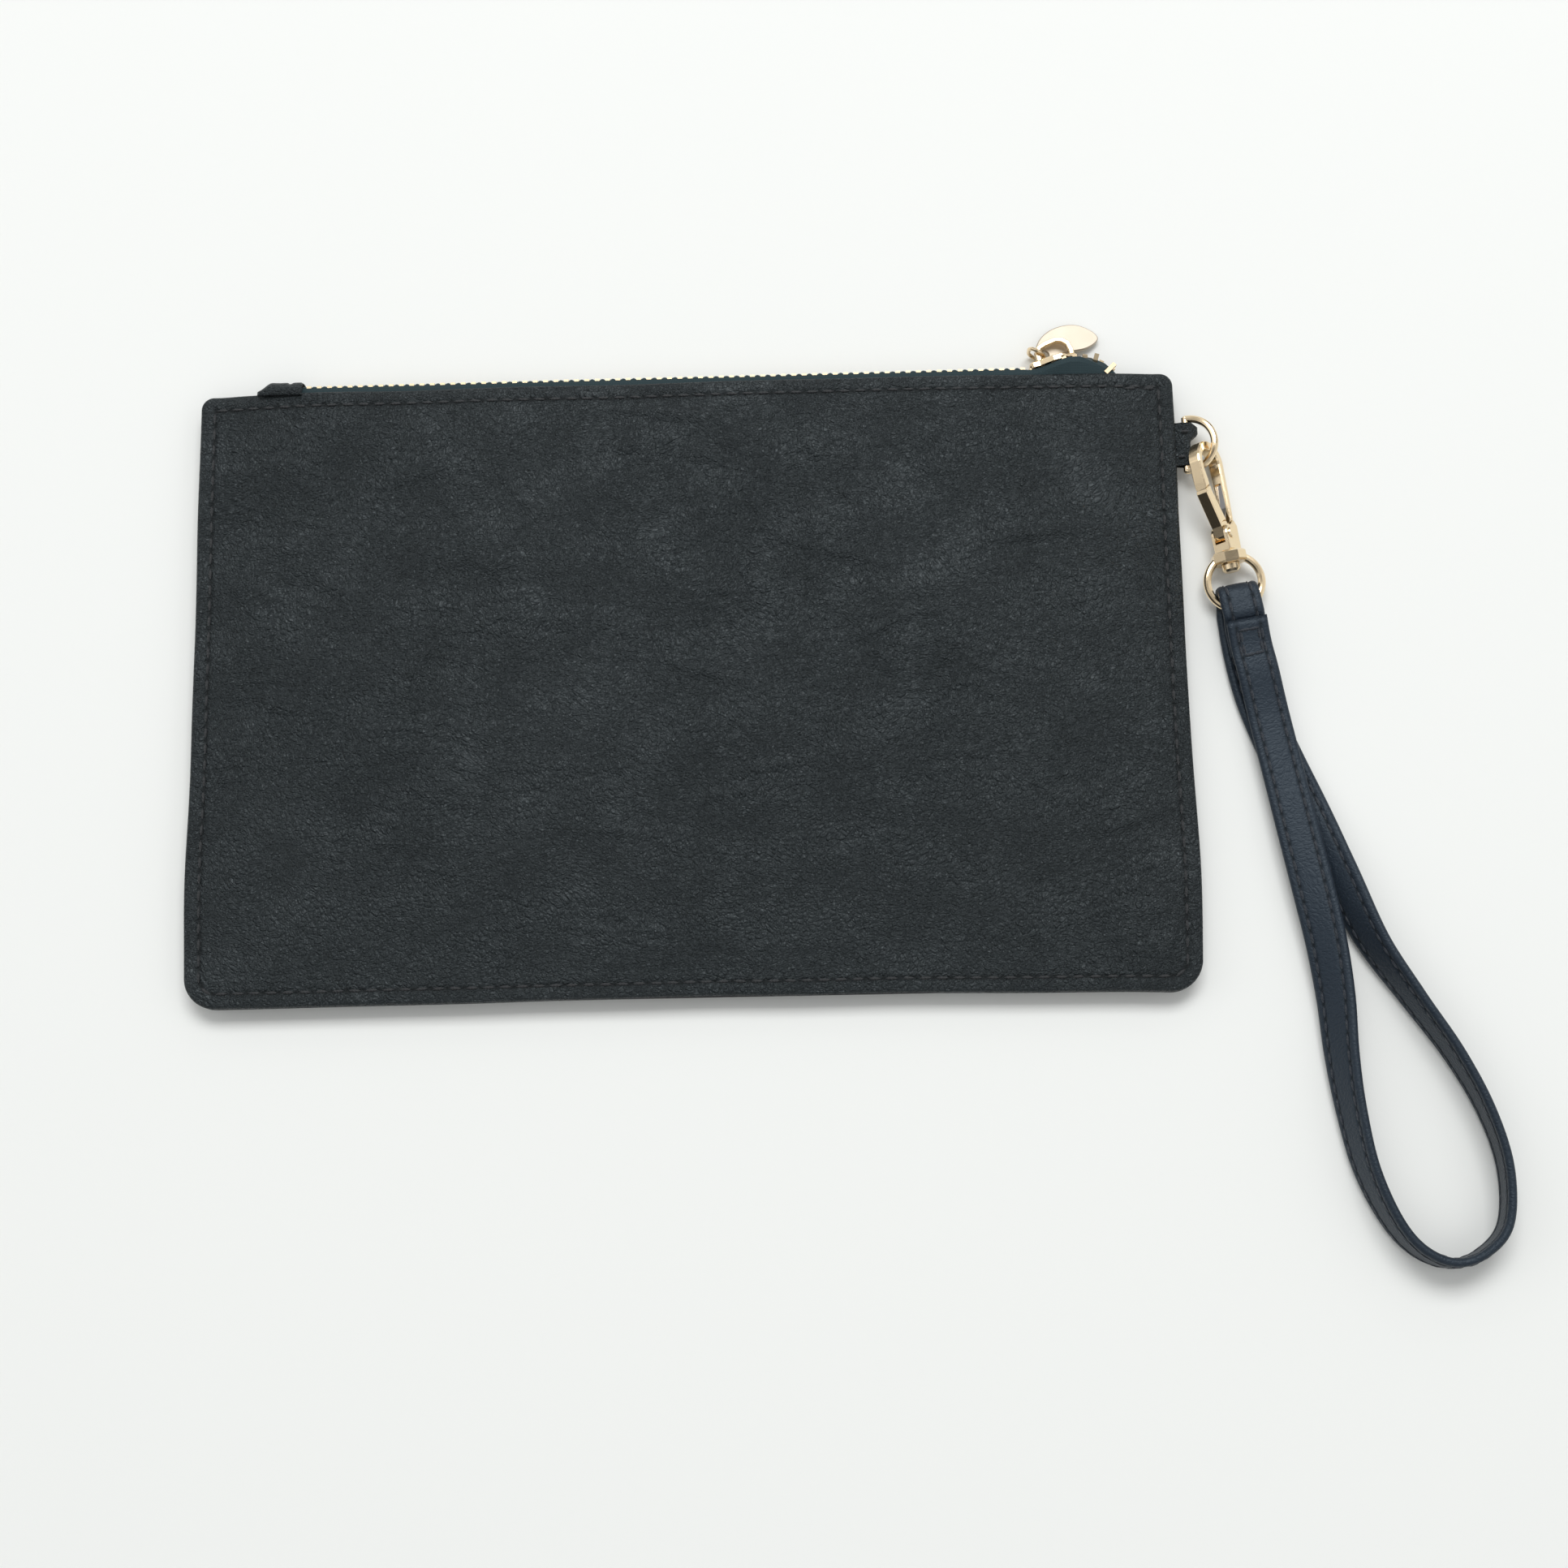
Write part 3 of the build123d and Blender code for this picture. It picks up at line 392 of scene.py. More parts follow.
# Standing folds of the front leather: x, y, length, width, direction in degrees, height.
FOLDS = [
    (-4, 65, 15, 2.0, -8, 0.55), (-13, 57, 3.2, 2.6, 0, 0.6), (-4, 58, 3.0, 2.6, 30, 0.55),
    (4, 55, 3.4, 2.4, -20, 0.5), (12, 57.5, 3.5, 2.5, 10, 0.45), (-38, 45, 7, 1.6, -52, 0.55),
    (-20, 39, 4.5, 2.6, -30, 0.5), (-12, 37, 3.0, 2.4, 60, 0.5), (33, 31, 13, 1.8, -14, 0.5),
    (83, 34, 11, 1.6, 6, 0.6), (80, 47, 2.0, 4.5, 75, 0.5), (60, 7, 5.0, 1.9, 62, 0.7),
    (-62, 5, 6.0, 1.8, 55, 0.6), (-84, 26, 8, 1.6, -28, 0.45), (-50, 30, 9, 1.7, -4, 0.4),
    (63, -18, 6, 1.8, 4, 0.45), (3, 3, 12, 1.5, -16, 0.4), (-93, -3, 7, 1.7, -12, 0.4),
    (100, -34, 9, 1.5, 22, 0.4), (52, 58, 4.5, 3.2, 20, 0.55), (58, 50, 3.5, 3.0, -30, 0.5),
    (30, 55, 4.0, 2.6, -15, 0.45), (-60, 52, 6, 2.2, 12, 0.35), (-18, -34, 9, 1.3, -8, 0.35),
    (45, 12, 12, 1.4, 24, 0.4), (-30, 16, 12, 1.6, -6, 0.35), (20, -20, 14, 1.4, 8, 0.3),
    (108, -62, 5, 3.0, 60, 0.5),
]


def opening(x, y, rise):
    """Panel's inner face from the seam plane: zero at the seams, the rise in the middle,
    and half of the mouth gap along the mouth."""
    u = np.clip(np.abs(x) / (PANEL_HALF - SEAM_EDGE), 0, 1)
    up = np.clip((y - PANEL_LOW - SEAM_EDGE) / 145.0 * 1.6, 0, 1)
    s = np.clip(y / 72.0, 0, 1)
    across = (1 - u**4) ** 1.5 * (1 - s**3) + (1 - u**12) ** 1.5 * s**3
    return 0.45 + (rise + (2.05 - rise) * s**3) * across * (1 - (1 - up) ** 3) ** 1.5


def edge_distance(x, y):
    """Distance inside the outline: a rectangle with round corners, large at the bottom."""
    r = np.where(y < 0, CORNER_R, TOP_CORNER_R)
    half_y = (PANEL_TOP - PANEL_LOW) / 2
    qx = np.abs(x) - (PANEL_HALF - r)
    qy = np.abs(y - (PANEL_TOP + PANEL_LOW) / 2) - (half_y - r)
    out = np.hypot(np.maximum(qx, 0), np.maximum(qy, 0)) + np.minimum(np.maximum(qx, qy), 0)
    return r - out


def settle(x, y):
    """The cut outline is not quite straight: small bows of the sides, top and bottom."""
    nx = np.clip(x / PANEL_HALF, -1, 1)
    ny = np.clip(y / PANEL_TOP, -1, 1)
    belly = hump(y + 48, 28)
    dx = np.where(nx > 0, 1.1, -0.7) * np.abs(nx) ** 5 * belly
    dy = 0.2 * (1 - nx**2) * np.clip(ny, 0, 1) ** 4 + 1.1 * (1 - nx**2) * np.clip(-ny, 0, 1) ** 6
    wave = 0.3 * noise2(x / 31.0, y / 31.0, 5)
    return x + dx + wave * np.abs(nx) ** 6, y + dy + wave * np.abs(ny) ** 6


def seam_phase(x, y, pitch):
    """Stitch count along the sewn line at the side or edge nearest to the point."""
    side = PANEL_TOP - STITCH_INSET - (PANEL_LOW + CORNER_R)
    arc = (CORNER_R - STITCH_INSET) * math.pi / 2
    flat = 2 * (PANEL_HALF - CORNER_R)
    total = 2 * side + 2 * arc + flat
    step = total / round(total / pitch)
    left = (PANEL_TOP - STITCH_INSET - y) / step
    low = (side + arc + x + flat / 2) / step
    right = (side + 2 * arc + flat + y - (PANEL_LOW + CORNER_R)) / step
    top_len = 2 * (PANEL_HALF - STITCH_INSET)
    top = (x + top_len / 2) / (top_len / round(top_len / pitch))
    near = np.stack([PANEL_HALF + x, y - PANEL_LOW, PANEL_HALF - x, PANEL_TOP - y])
    pick = np.argmin(near, 0)
    return np.choose(pick, [left, low, right, top])


def wrinkles(x, y, seed):
    """Crumpled leather: ridged noise stretched along x and bent by slow noise, stronger
    in patches, over a finer set of the same."""
    wx = x + 5.0 * noise2(x / 26.0, y / 26.0, seed + 1)
    wy = y + 4.5 * noise2(x / 24.0, y / 24.0, seed + 2) + 0.05 * x
    big = ridge(wx / 32.0, wy / 9.5, seed + 3) - 0.22
    mid = ridge(wx / 14.0, wy / 5.0, seed + 4) - 0.22
    fine = ridge(wx / 6.0, wy / 2.6, seed + 6) - 0.22
    pebble = noise2(x / 1.5, y / 1.3, seed + 9)
    patch = smooth(-0.35, 0.45, noise2(x / 42.0, y / 30.0, seed + 7))
    soft = 0.45 * fbm(x / 16.0, y / 9.0, seed + 8, 3)
    crease = 0.45 * big * (0.4 + 0.6 * patch) + (0.55 * mid + 0.45 * fine) * (0.2 + 0.8 * patch)
    return crease + 0.4 * soft + 0.12 * pebble * patch


def folds(x, y):
    """Sum of standing folds: a Gaussian along each crest times a crest with a steep and a
    gentle side."""
    total = np.zeros_like(x)
    for fx, fy, length, width, turn, height in FOLDS:
        a = math.radians(turn)
        s = (x - fx) * math.cos(a) + (y - fy) * math.sin(a)
        n = -(x - fx) * math.sin(a) + (y - fy) * math.cos(a) + 0.03 * s * s / max(length, 1)
        n = n + 0.5 * noise2(x / 5.0, y / 5.0, 41)
        side = np.where(n > 0, 1.0, 0.55)
        crest = hump(n, width * side) - 0.35 * hump(n + width * 1.6, width)
        total = total + height * crest * hump(s, length)
    return total


def sewn_shade(x, y, settings):
    """Painted shade in the sewn line, strongest in the needle holes."""
    d = edge_distance(x, y)
    holes = beat(seam_phase(x, y, settings.stitch_pitch / MM)) ** 4
    line = hump(d - STITCH_INSET, 0.5)
    return np.clip(0.2 * line + 1.2 * line * holes, 0, 1)


def leather_height(x, y, side, settings):
    """Outer face of a panel, sewn line, hem and wrinkles included, in millimetres."""
    rise = FRONT_RISE if side > 0 else BACK_RISE
    flat = opening(x, y, rise) + LEATHER_T
    d = edge_distance(x, y)
    pits = beat(seam_phase(x, y, settings.stitch_pitch / MM)) ** 3
    groove = 0.2 * hump(d - STITCH_INSET, 0.6) + 0.22 * hump(d - STITCH_INSET, 0.45) * pits
    sewn = -groove - 0.18 * hump(d, 1.1)
    depth = settings.wrinkle_depth / MM
    room = 0.16 + 0.84 * smooth(3.6, 11.0, d)
    crumple = depth * wrinkles(x, y, 3 if side > 0 else 60) * room
    if side > 0:
        crumple = crumple + folds(x, y) * settings.fold_height / MM * smooth(3.6, 7.0, d)
    return flat + sewn + crumple


def spaced(length, pitch, rim=7.0, close=0.42):
    """Stations from 0 to length: a few very close ones at each end for the corner, close
    ones under the sewn line, and even ones at the given pitch between."""
    start = np.array([0.0, 0.04, 0.12, 0.26, 0.5])
    sewn = np.linspace(0.5, rim, int((rim - 0.5) / close) + 1)[1:]
    edge = np.concatenate([start, sewn])
    count = int(round((length - 2 * rim) / pitch))
    middle = np.linspace(rim, length - rim, count + 1)[1:-1]
    return np.concatenate([edge, middle, length - edge[::-1]])


def leather_panel(name, side, pitch, settings, material):
    """One leather panel as a closed sheet: a grid for the outer face, a half round for
    the turned edge, and rings closing to a pole for the inner face."""
    inset = 0.75
    # Outer face: even stations, narrowed at the corners by their quarter rounds.
    ys = PANEL_LOW + inset + spaced(PANEL_TOP - PANEL_LOW - 2 * inset, pitch)
    us = spaced(2 * (PANEL_HALF - inset), pitch)[4:-4] / (PANEL_HALF - inset) - 1
    us[0], us[-1] = -1, 1
    nu, nv = len(us), len(ys)
    r = CORNER_R - inset
    dip = np.clip(PANEL_LOW + inset + r - ys, 0, r)
    half = PANEL_HALF - inset - r + np.sqrt(np.clip(r**2 - dip**2, 0, None))
    r_top = TOP_CORNER_R - inset
    climb = np.clip(ys - (PANEL_TOP - inset - r_top), 0, r_top)
    half = half - r_top + np.sqrt(np.clip(r_top**2 - climb**2, 0, None))
    x = us[:, None] * half[None, :]
    y = np.broadcast_to(ys[None, :], x.shape)
    rise = FRONT_RISE if side > 0 else BACK_RISE
    z = leather_height(x, y, side, settings)
    grid = np.stack([x, y, z], -1).reshape(-1, 3)
    # Turned edge: the grid's rim, run once round, then half circles pushed outward from it.
    i, j = np.arange(nu), np.arange(nv)
    loop = np.concatenate([i * nv, (nu - 1) * nv + j[1:], i[-2::-1] * nv + nv - 1, j[-2:0:-1]])
    edge = grid[loop]
    run = np.roll(edge, -2, 0) - np.roll(edge, 2, 0)
    out = unit(np.stack([run[:, 1], -run[:, 0]], -1))
    low = 0.02 + (opening(edge[:, 0], edge[:, 1], rise) - 0.45) * 1.2
    mid, rad = (edge[:, 2] + low) / 2, (edge[:, 2] - low) / 2
    rings = []
    for phi in np.linspace(0, np.pi, 8)[1:]:
        push = np.minimum(rad, inset)[:, None] * out * math.sin(phi)
        rings.append(np.column_stack([edge[:, :2] + push, mid + rad * math.cos(phi)]))
    # Inner face: rings drawn in to the middle.
    for t in (0.03, 0.12, 0.3, 0.55, 0.8):
        p = edge[:, :2] * (1 - t)
        rings.append(np.column_stack([p, opening(p[:, 0], p[:, 1], rise)]))
    pole = np.array([[0, 0, opening(0.0, 0.0, rise)]])
    verts = np.concatenate([grid] + rings + [pole])
    # Painted shade: along the sewn line and in the needle holes of the outer face, and at half strength on
    # the lower half of the turned edge and on the inner face.
    shade = np.zeros(len(verts))
    shade[:len(grid)] = sewn_shade(grid[:, 0], grid[:, 1], settings)
    shade[len(grid) + 4 * len(loop):] = 0.5
    faces = [grid_faces(nu, nv)]
    here = loop
    for k in range(len(rings)):
        there = nu * nv + k * len(loop) + np.arange(len(loop))
        faces.append(np.column_stack([np.roll(here, -1), here, there, np.roll(there, -1)]))
        here = there
    fan = np.column_stack([np.roll(here, -1), here, np.full(len(here), len(verts) - 1)])
    verts[:, 0], verts[:, 1] = settle(verts[:, 0], verts[:, 1])
    verts[:, 2] = SEAM_Z + side * verts[:, 2]
    if side < 0:
        verts[:, 2] = np.maximum(verts[:, 2], 0.02)
    quads = np.concatenate(faces)
    if side < 0:
        quads, fan = quads[:, ::-1], fan[:, ::-1]
    return add_shade(make_object(name, verts, [quads, fan], material), shade)


def sewn_path():
    """Line of the U-shaped seam, from the top left down, along and up to the top right."""
    r = CORNER_R - STITCH_INSET
    hx, low, top = PANEL_HALF - STITCH_INSET, PANEL_LOW + STITCH_INSET, PANEL_TOP - STITCH_INSET
    turn = np.linspace(0, np.pi / 2, 9)
    left = np.column_stack([-hx + r - r * np.cos(turn), low + r - r * np.sin(turn)])
    right = np.column_stack([hx - r + r * np.sin(turn), low + r - r * np.cos(turn)])
    return np.concatenate([[[-hx, top]], left, right, [[hx, top]]])


def seam_stitches(name, path, side, settings, material):
    """Stitches at an even pitch along a flat path, laid on the panel's outer face."""
    at, along = even_points(np.column_stack([path, np.zeros(len(path))]), settings.stitch_pitch / MM)
    x, y = at[:, 0], at[:, 1]
    z = leather_height(x, y, side, settings) + STITCH_LIFT
    rng = np.random.default_rng(7)
    turn = rng.normal(0, 0.035, len(x))
    c, s = np.cos(turn), np.sin(turn)
    along = np.column_stack([along[:, 0] * c - along[:, 1] * s,
                             along[:, 0] * s + along[:, 1] * c, 0 * c])
    x, y = settle(x, y)
    centre = np.column_stack([x, y, SEAM_Z + side * z])
    up = np.tile([0, 0, float(side)], (len(x), 1))
    length = settings.stitch_length / MM * (1 + rng.normal(0, 0.03, len(x)))
    return capsules(name, centre, along, up, length, settings.thread_radius / MM, material)


# ---- strap ----------------------------------------------------------------------------
COLLAR = (126.35, 27.9)
STRAP_LEAN = math.radians(10.2)
STRAP_W = 9.6
STRAP_T = 1.9
STRAP_ROW = STRAP_W / 2 - 2.0
RING_WIRE_Y = -12.1
STRAP_PITCH = 3.4
# The loop's middle line: x and y from the collar, height, and turn of the outer edge.
STRAP_ROUTE = [
    (1.6, -13.4, 1.05, 0), (2.8, -22.9, 0.95, 0), (5.0, -32.9, 0.95, 0),
    (9.2, -44.9, 1.0, 4), (14.7, -58.4, 1.6, 12), (20.8, -73.9, 3.1, 33),
    (27.6, -90.0, 4.2, 56), (35.7, -103.0, 4.7, 71), (44.1, -115.9, 4.8, 79),
    (50.3, -128.6, 4.75, 85), (53.6, -141.1, 4.7, 89), (52.7, -153.3, 4.7, 90),
    (47.2, -159.5, 4.7, 90), (40.5, -161.5, 4.7, 92), (33.5, -158.7, 4.75, 97),
    (28.0, -152.1, 4.8, 103), (23.2, -140.9, 4.8, 111), (20.6, -128.0, 4.7, 119),
    (19.2, -115.4, 4.6, 129), (18.6, -102.7, 4.6, 141), (17.1, -89.8, 4.75, 154),
    (14.8, -76.9, 4.6, 166), (12.3, -63.7, 4.1, 174), (9.8, -50.4, 3.4, 179),
    (7.2, -37.1, 3.3, 180), (5.2, -27.4, 4.75, 180), (3.8, -20.9, 5.1, 180),
    (2.8, -15.1, 6.5, 180),
]


def smooth_rows(rows, steps):
    """Catmull-Rom curve through the rows of a table, steps readings to each span."""
    rows = np.asarray(rows, float)
    pts = np.concatenate([[2 * rows[0] - rows[1]], rows, [2 * rows[-1] - rows[-2]]])
    a, b, c, d = pts[:-3], pts[1:-2], pts[2:-1], pts[3:]
    u = (np.arange(steps) / steps)[None, :, None]
    a, b, c, d = (q[:, None, :] for q in (a, b, c, d))
    out = 0.5 * (2 * b + (c - a) * u + (2 * a - 5 * b + 4 * c - d) * u**2
                 + (3 * b - a - 3 * c + d) * u**3)
    return np.concatenate([out.reshape(-1, rows.shape[1]), rows[-1:]])


def strap_line():
    """Centres, width directions, outward normals and stations from the folded tail, round
    the ring and the loop, to the lap."""
    along = np.array([-math.sin(STRAP_LEAN), math.cos(STRAP_LEAN), 0])
    across = np.array([math.cos(STRAP_LEAN), math.sin(STRAP_LEAN), 0])
    up = np.array([0, 0, 1.0])
    collar = np.array([*COLLAR, 0])
    base, mid = collar @ across, collar @ along + RING_WIRE_Y
    low, half_gap = 1.0, 2.25
    centre = collar @ along - 6.3 - STRAP_T / 2 - half_gap
    # Tail and fold: place along the clasp's line, height, and turn in degrees.
    rows = [(mid - 11.0, 3.0, 180.0), (mid - 8.0, 3.0, 180.0), (mid - 4.6, 3.45, 180.0),
            (mid - 2.2, low + 2 * half_gap - 0.12, 180.0), (mid + 0.4, low + 2 * half_gap, 180.0)]
    for a in np.linspace(math.pi, 0, 13):
        rows.append((centre + half_gap * math.sin(a), low + half_gap - half_gap * math.cos(a),
                     math.degrees(a)))
    fold = smooth_rows(rows, 5)[:-2]
    a = np.radians(fold[:, 2:3])
    fold_centre = base * across + fold[:, :1] * along + fold[:, 1:2] * up
    fold_normal = np.sin(a) * along - np.cos(a) * up
    route = smooth_rows([(COLLAR[0] + x, COLLAR[1] + y, z, t) for x, y, z, t in STRAP_ROUTE], 20)
    run = np.gradient(route[:, :3], axis=0)
    outward = np.cross(up, unit(run * [1, 1, 0]))
    run = unit(run)
    a = np.radians(route[:, 3:4])
    loop_normal = square_to(np.sin(a) * outward - np.cos(a) * up, run)
    loop_width = np.cross(loop_normal, run)
    reach = np.abs(loop_width[:, 2]) * STRAP_W / 2 + np.abs(loop_normal[:, 2]) * STRAP_T / 2
    loop_centre = route[:, :3].copy()
    loop_centre[:, 2] = np.maximum(loop_centre[:, 2], reach + 0.05)
    centre = np.concatenate([fold_centre, loop_centre])
    width = np.concatenate([np.tile(across, (len(fold), 1)), loop_width])
    normal = np.concatenate([fold_normal, loop_normal])
    s = stations(centre)
    even = np.linspace(0, s[-1], int(s[-1] / 0.9))
    centre, width, normal = (read_rows(v, s, even) for v in (centre, width, normal))
    kernel = np.hanning(9)[1:-1] / np.hanning(9).sum()

    def relax(v):
        padded = np.pad(v, ((3, 3), (0, 0)), mode="edge")
        return np.stack([np.convolve(column, kernel, "valid") for column in padded.T], -1)

    width = unit(relax(width))
    return centre, width, square_to(relax(normal), width), even


def strap_face(across, s):
    """Height of the strap's face above its middle: a low dome, two sewn grooves with a
    pit at each stitch, and slow ripples."""
    groove = hump(np.abs(across) - STRAP_ROW, 0.5)
    dome = 0.08 * (1 - (across / (STRAP_W / 2)) ** 2)
    ripple = 0.05 * noise2(s / 9.0, across / 6.0, 31)
    return STRAP_T / 2 + dome - 0.12 * groove * (1 + beat(s / STRAP_PITCH) ** 3) + ripple


def wrist_strap(settings, material):
    """Ribbon swept along the loop: domed faces, round painted edges, capped ends."""
    centre, width, normal, s = strap_line()
    t = STRAP_T / 2
    side = STRAP_W / 2 - t
    flat = np.linspace(-side, side, 31)
    edge = np.linspace(np.pi / 2, -np.pi / 2, 7)[1:-1]
    rows = [(w, strap_face(w, s)) for w in flat[::-1]]
    rows += [(-side - t * math.cos(a), t * math.sin(a)) for a in edge]
    rows += [(w, -strap_face(w, s)) for w in flat]
    rows += [(side + t * math.cos(a), t * math.sin(a)) for a in edge[::-1]]
    wide, high = (np.stack([np.broadcast_to(row[k], s.shape) for row in rows], 1) for k in (0, 1))
    ends = np.minimum(s, s[-1] - s)
    taper = np.sqrt(np.clip(1 - (1 - np.clip(ends / 0.8, 0, 1)) ** 2, 0.05, 1))[:, None]
    pts = centre[:, None] + width[:, None] * wide[..., None] + normal[:, None] * (high * taper)[..., None]
    verts = np.concatenate([pts.reshape(-1, 3), centre[[0, -1]]])
    # Painted shade along both sewn rows, darkest at each needle hole.
    lane = hump(np.abs(wide) - STRAP_ROW, 0.4)
    holes = beat(s / STRAP_PITCH)[:, None] ** 3
    shade = np.clip(lane * (0.2 + 1.1 * holes), 0, 1).ravel()
    strap = make_object("strap_leather", verts, tube_faces(len(s), len(rows)), material)
    return add_shade(strap, np.concatenate([shade, [0, 0]]))


def strap_stitches(settings, material):
    """Both rows of stitches on both faces, and the box that closes the lap."""
    centre, width, normal, s = strap_line()
    places, ups, runs = [], [], []

    def sew(at, offset, lift, face=1, crosswise=False):
        c, w, n = (read_rows(v, s, at) for v in (centre, width, normal))
        high = (strap_face(np.full(len(at), offset), at) + lift) * face
        places.append(c + w * offset + n * high[:, None])
        ups.append(n * face)
        runs.append(w if crosswise else read_rows(centre, s, at + 0.9) - read_rows(centre, s, at - 0.9))

    for face in (1, -1):
        for offset in (STRAP_ROW, -STRAP_ROW):
            sew(np.arange(STRAP_PITCH * 1.5, s[-1] - 2.0, STRAP_PITCH), offset, 0.06, face)
    box_end = s[-1] - 2.6
    box_side = STRAP_W / 2 - 2.7
    for back in (0.0, 6.0):
        for offset in (-box_side / 2, box_side / 2):
            sew(np.array([box_end - back]), offset, 0.1, crosswise=True)
    for offset in (-box_side, box_side):
        sew(box_end - np.array([1.5, 4.5]), offset, 0.1)
    places, ups, runs = (np.concatenate(v) for v in (places, ups, runs))
    return capsules("strap_stitches", places, runs, ups, 2.6, settings.thread_radius / MM, material)


# ---- zipper cords -------------------------------------------------------------------------
CHAIN_Y = 74.0
FIRST_TOOTH = -91.6
TOOTH_PITCH = 2.45
CORD_SPAN = (-93.0, 80.06)


def tape_cord(name, side, material):
    """Corded edge of a tape along the closed chain: a tube whose radius ripples with its
    twist, pinched by each tooth and bulging, as a raised cosine, in the gaps between them."""
    sides = 10
    x = np.arange(*CORD_SPAN, 0.35)
    first = FIRST_TOOTH + (0 if side > 0 else TOOTH_PITCH / 2)
    bulge = (1 - beat((x - first) / TOOTH_PITCH)) ** 0.7
    y = CHAIN_Y - 0.1 + 0.6 * bulge
    z = np.full(len(x), SEAM_Z + side * 1.2)
    a = np.linspace(0, 2 * np.pi, sides, endpoint=False)
    radius = 0.42 + 0.08 * bulge[:, None] + 0.03 * np.cos(a * 2 + x[:, None] * 5.0)
    radius[[0, -1]] *= 0.3
    middle = np.column_stack([x, y, z])
    rim = np.stack([0 * radius, radius * np.sin(a), side * radius * np.cos(a)], -1)
    verts = np.concatenate([(middle[:, None] + rim).reshape(-1, 3), middle[[0, -1]]])
    groups = tube_faces(len(x), sides)
    if side > 0:
        groups = [g[:, ::-1] for g in groups]
    return make_object(name, verts, groups, material)


# ---- small leather pieces ---------------------------------------------------------------
def keeper_piece(material):
    """Leather keeper over the closed end of the chain: an arched section carried along x,
    drawn in towards the left, dented by its stitches, with rounded lips."""
    start_x, end_x, base_y = -101.0, -90.5, 72.15
    reach, half_high, thick = 3.2, 3.35, 0.8
    a = np.linspace(np.pi, 0, 17)
    arch = np.column_stack([base_y + reach * np.sin(a) ** 0.35,
                            SEAM_Z + half_high * np.cos(a) * (0.82 + 0.18 * (1 - np.sin(a)))])
    run = unit(np.gradient(arch, axis=0))
    inward = np.column_stack([run[:, 1], -run[:, 0]]) * thick / 2
    verts = []
    along = np.linspace(0, 1, 24)
    for t in along:
        lip = inward * math.sqrt(max(1 - abs(2 * t - 1) ** 24, 0.03))
        shape = np.concatenate([arch + inward - lip, (arch + inward + lip)[::-1]])
        low = shape[:, 0].min()
        height = 0.45 + 0.55 * smooth(0.0, 0.3, t) - 0.12 * hump(t - 0.72, 0.05)
        x = np.full(len(shape), start_x + (end_x - start_x) * t)
        bump = 0.06 * noise2(x / 2.2, np.arange(len(shape)) / 7.0, 77)
        verts.append(np.column_stack([x, low + (shape[:, 0] - low) * height + bump, shape[:, 1]]))
    faces = band_faces(len(along), 2 * len(arch))
    return make_object("keeper_leather", np.concatenate(verts), faces, material)


def tab_piece(material):
    """Leather loop from the seam round the ring's bar: a flattened drop in section, rounded
    at its corners and pressed back to 0.38 of its reach where the hook's nose passes."""
    bar_x, bar_y, bar_z = 117.6, 55.4, 4.15
    half_wide, half_high, thick = 5.2, 1.12, 0.52
    a = np.linspace(-0.5 * np.pi, 0.5 * np.pi, 17)
    nose = np.column_stack([1.5 + 1.5 * np.cos(a), half_high * np.sin(a)])
    thinning = 1.0 - 0.37 * smooth(0, 1, np.linspace(-0.5, 1, 10))
    upper = np.column_stack([np.linspace(1.1, -3.0, 10), half_high * thinning])
    path = np.concatenate([upper[::-1] * [1, -1], nose, upper])
    run = unit(np.gradient(path, axis=0))
    outward = np.column_stack([-run[:, 1], run[:, 0]])
    verts = []
    across = np.linspace(-1, 1, 21)
    for w in across:
        lip = math.sqrt(max(1 - abs(w) ** 16, 0.05))
        corner = 1.0 - 0.45 * max(abs(w) - 0.8, 0) / 0.2 * (path[:, 0] > 0.9)
        pressed = 1.0 - 0.62 * (1.0 - smooth(0.12, 0.5, w)) * (path[:, 0] > 0)
        inner = path * np.column_stack([corner * pressed, np.ones(len(path))])
        ring = np.concatenate([inner, (inner + outward * thick * lip)[::-1]])
        bump = 0.05 * noise2(ring[:, 0] / 1.6 + 9, ring[:, 1] / 1.6 + w * 3, 12)
        verts.append(np.column_stack([bar_x + 0.94 * ring[:, 0], np.full(len(ring), bar_y + w * half_wide),
                                      bar_z + ring[:, 1] + bump]))
    faces = band_faces(len(across), 2 * len(path))
    return make_object("side_tab_leather", np.concatenate(verts), faces, material)


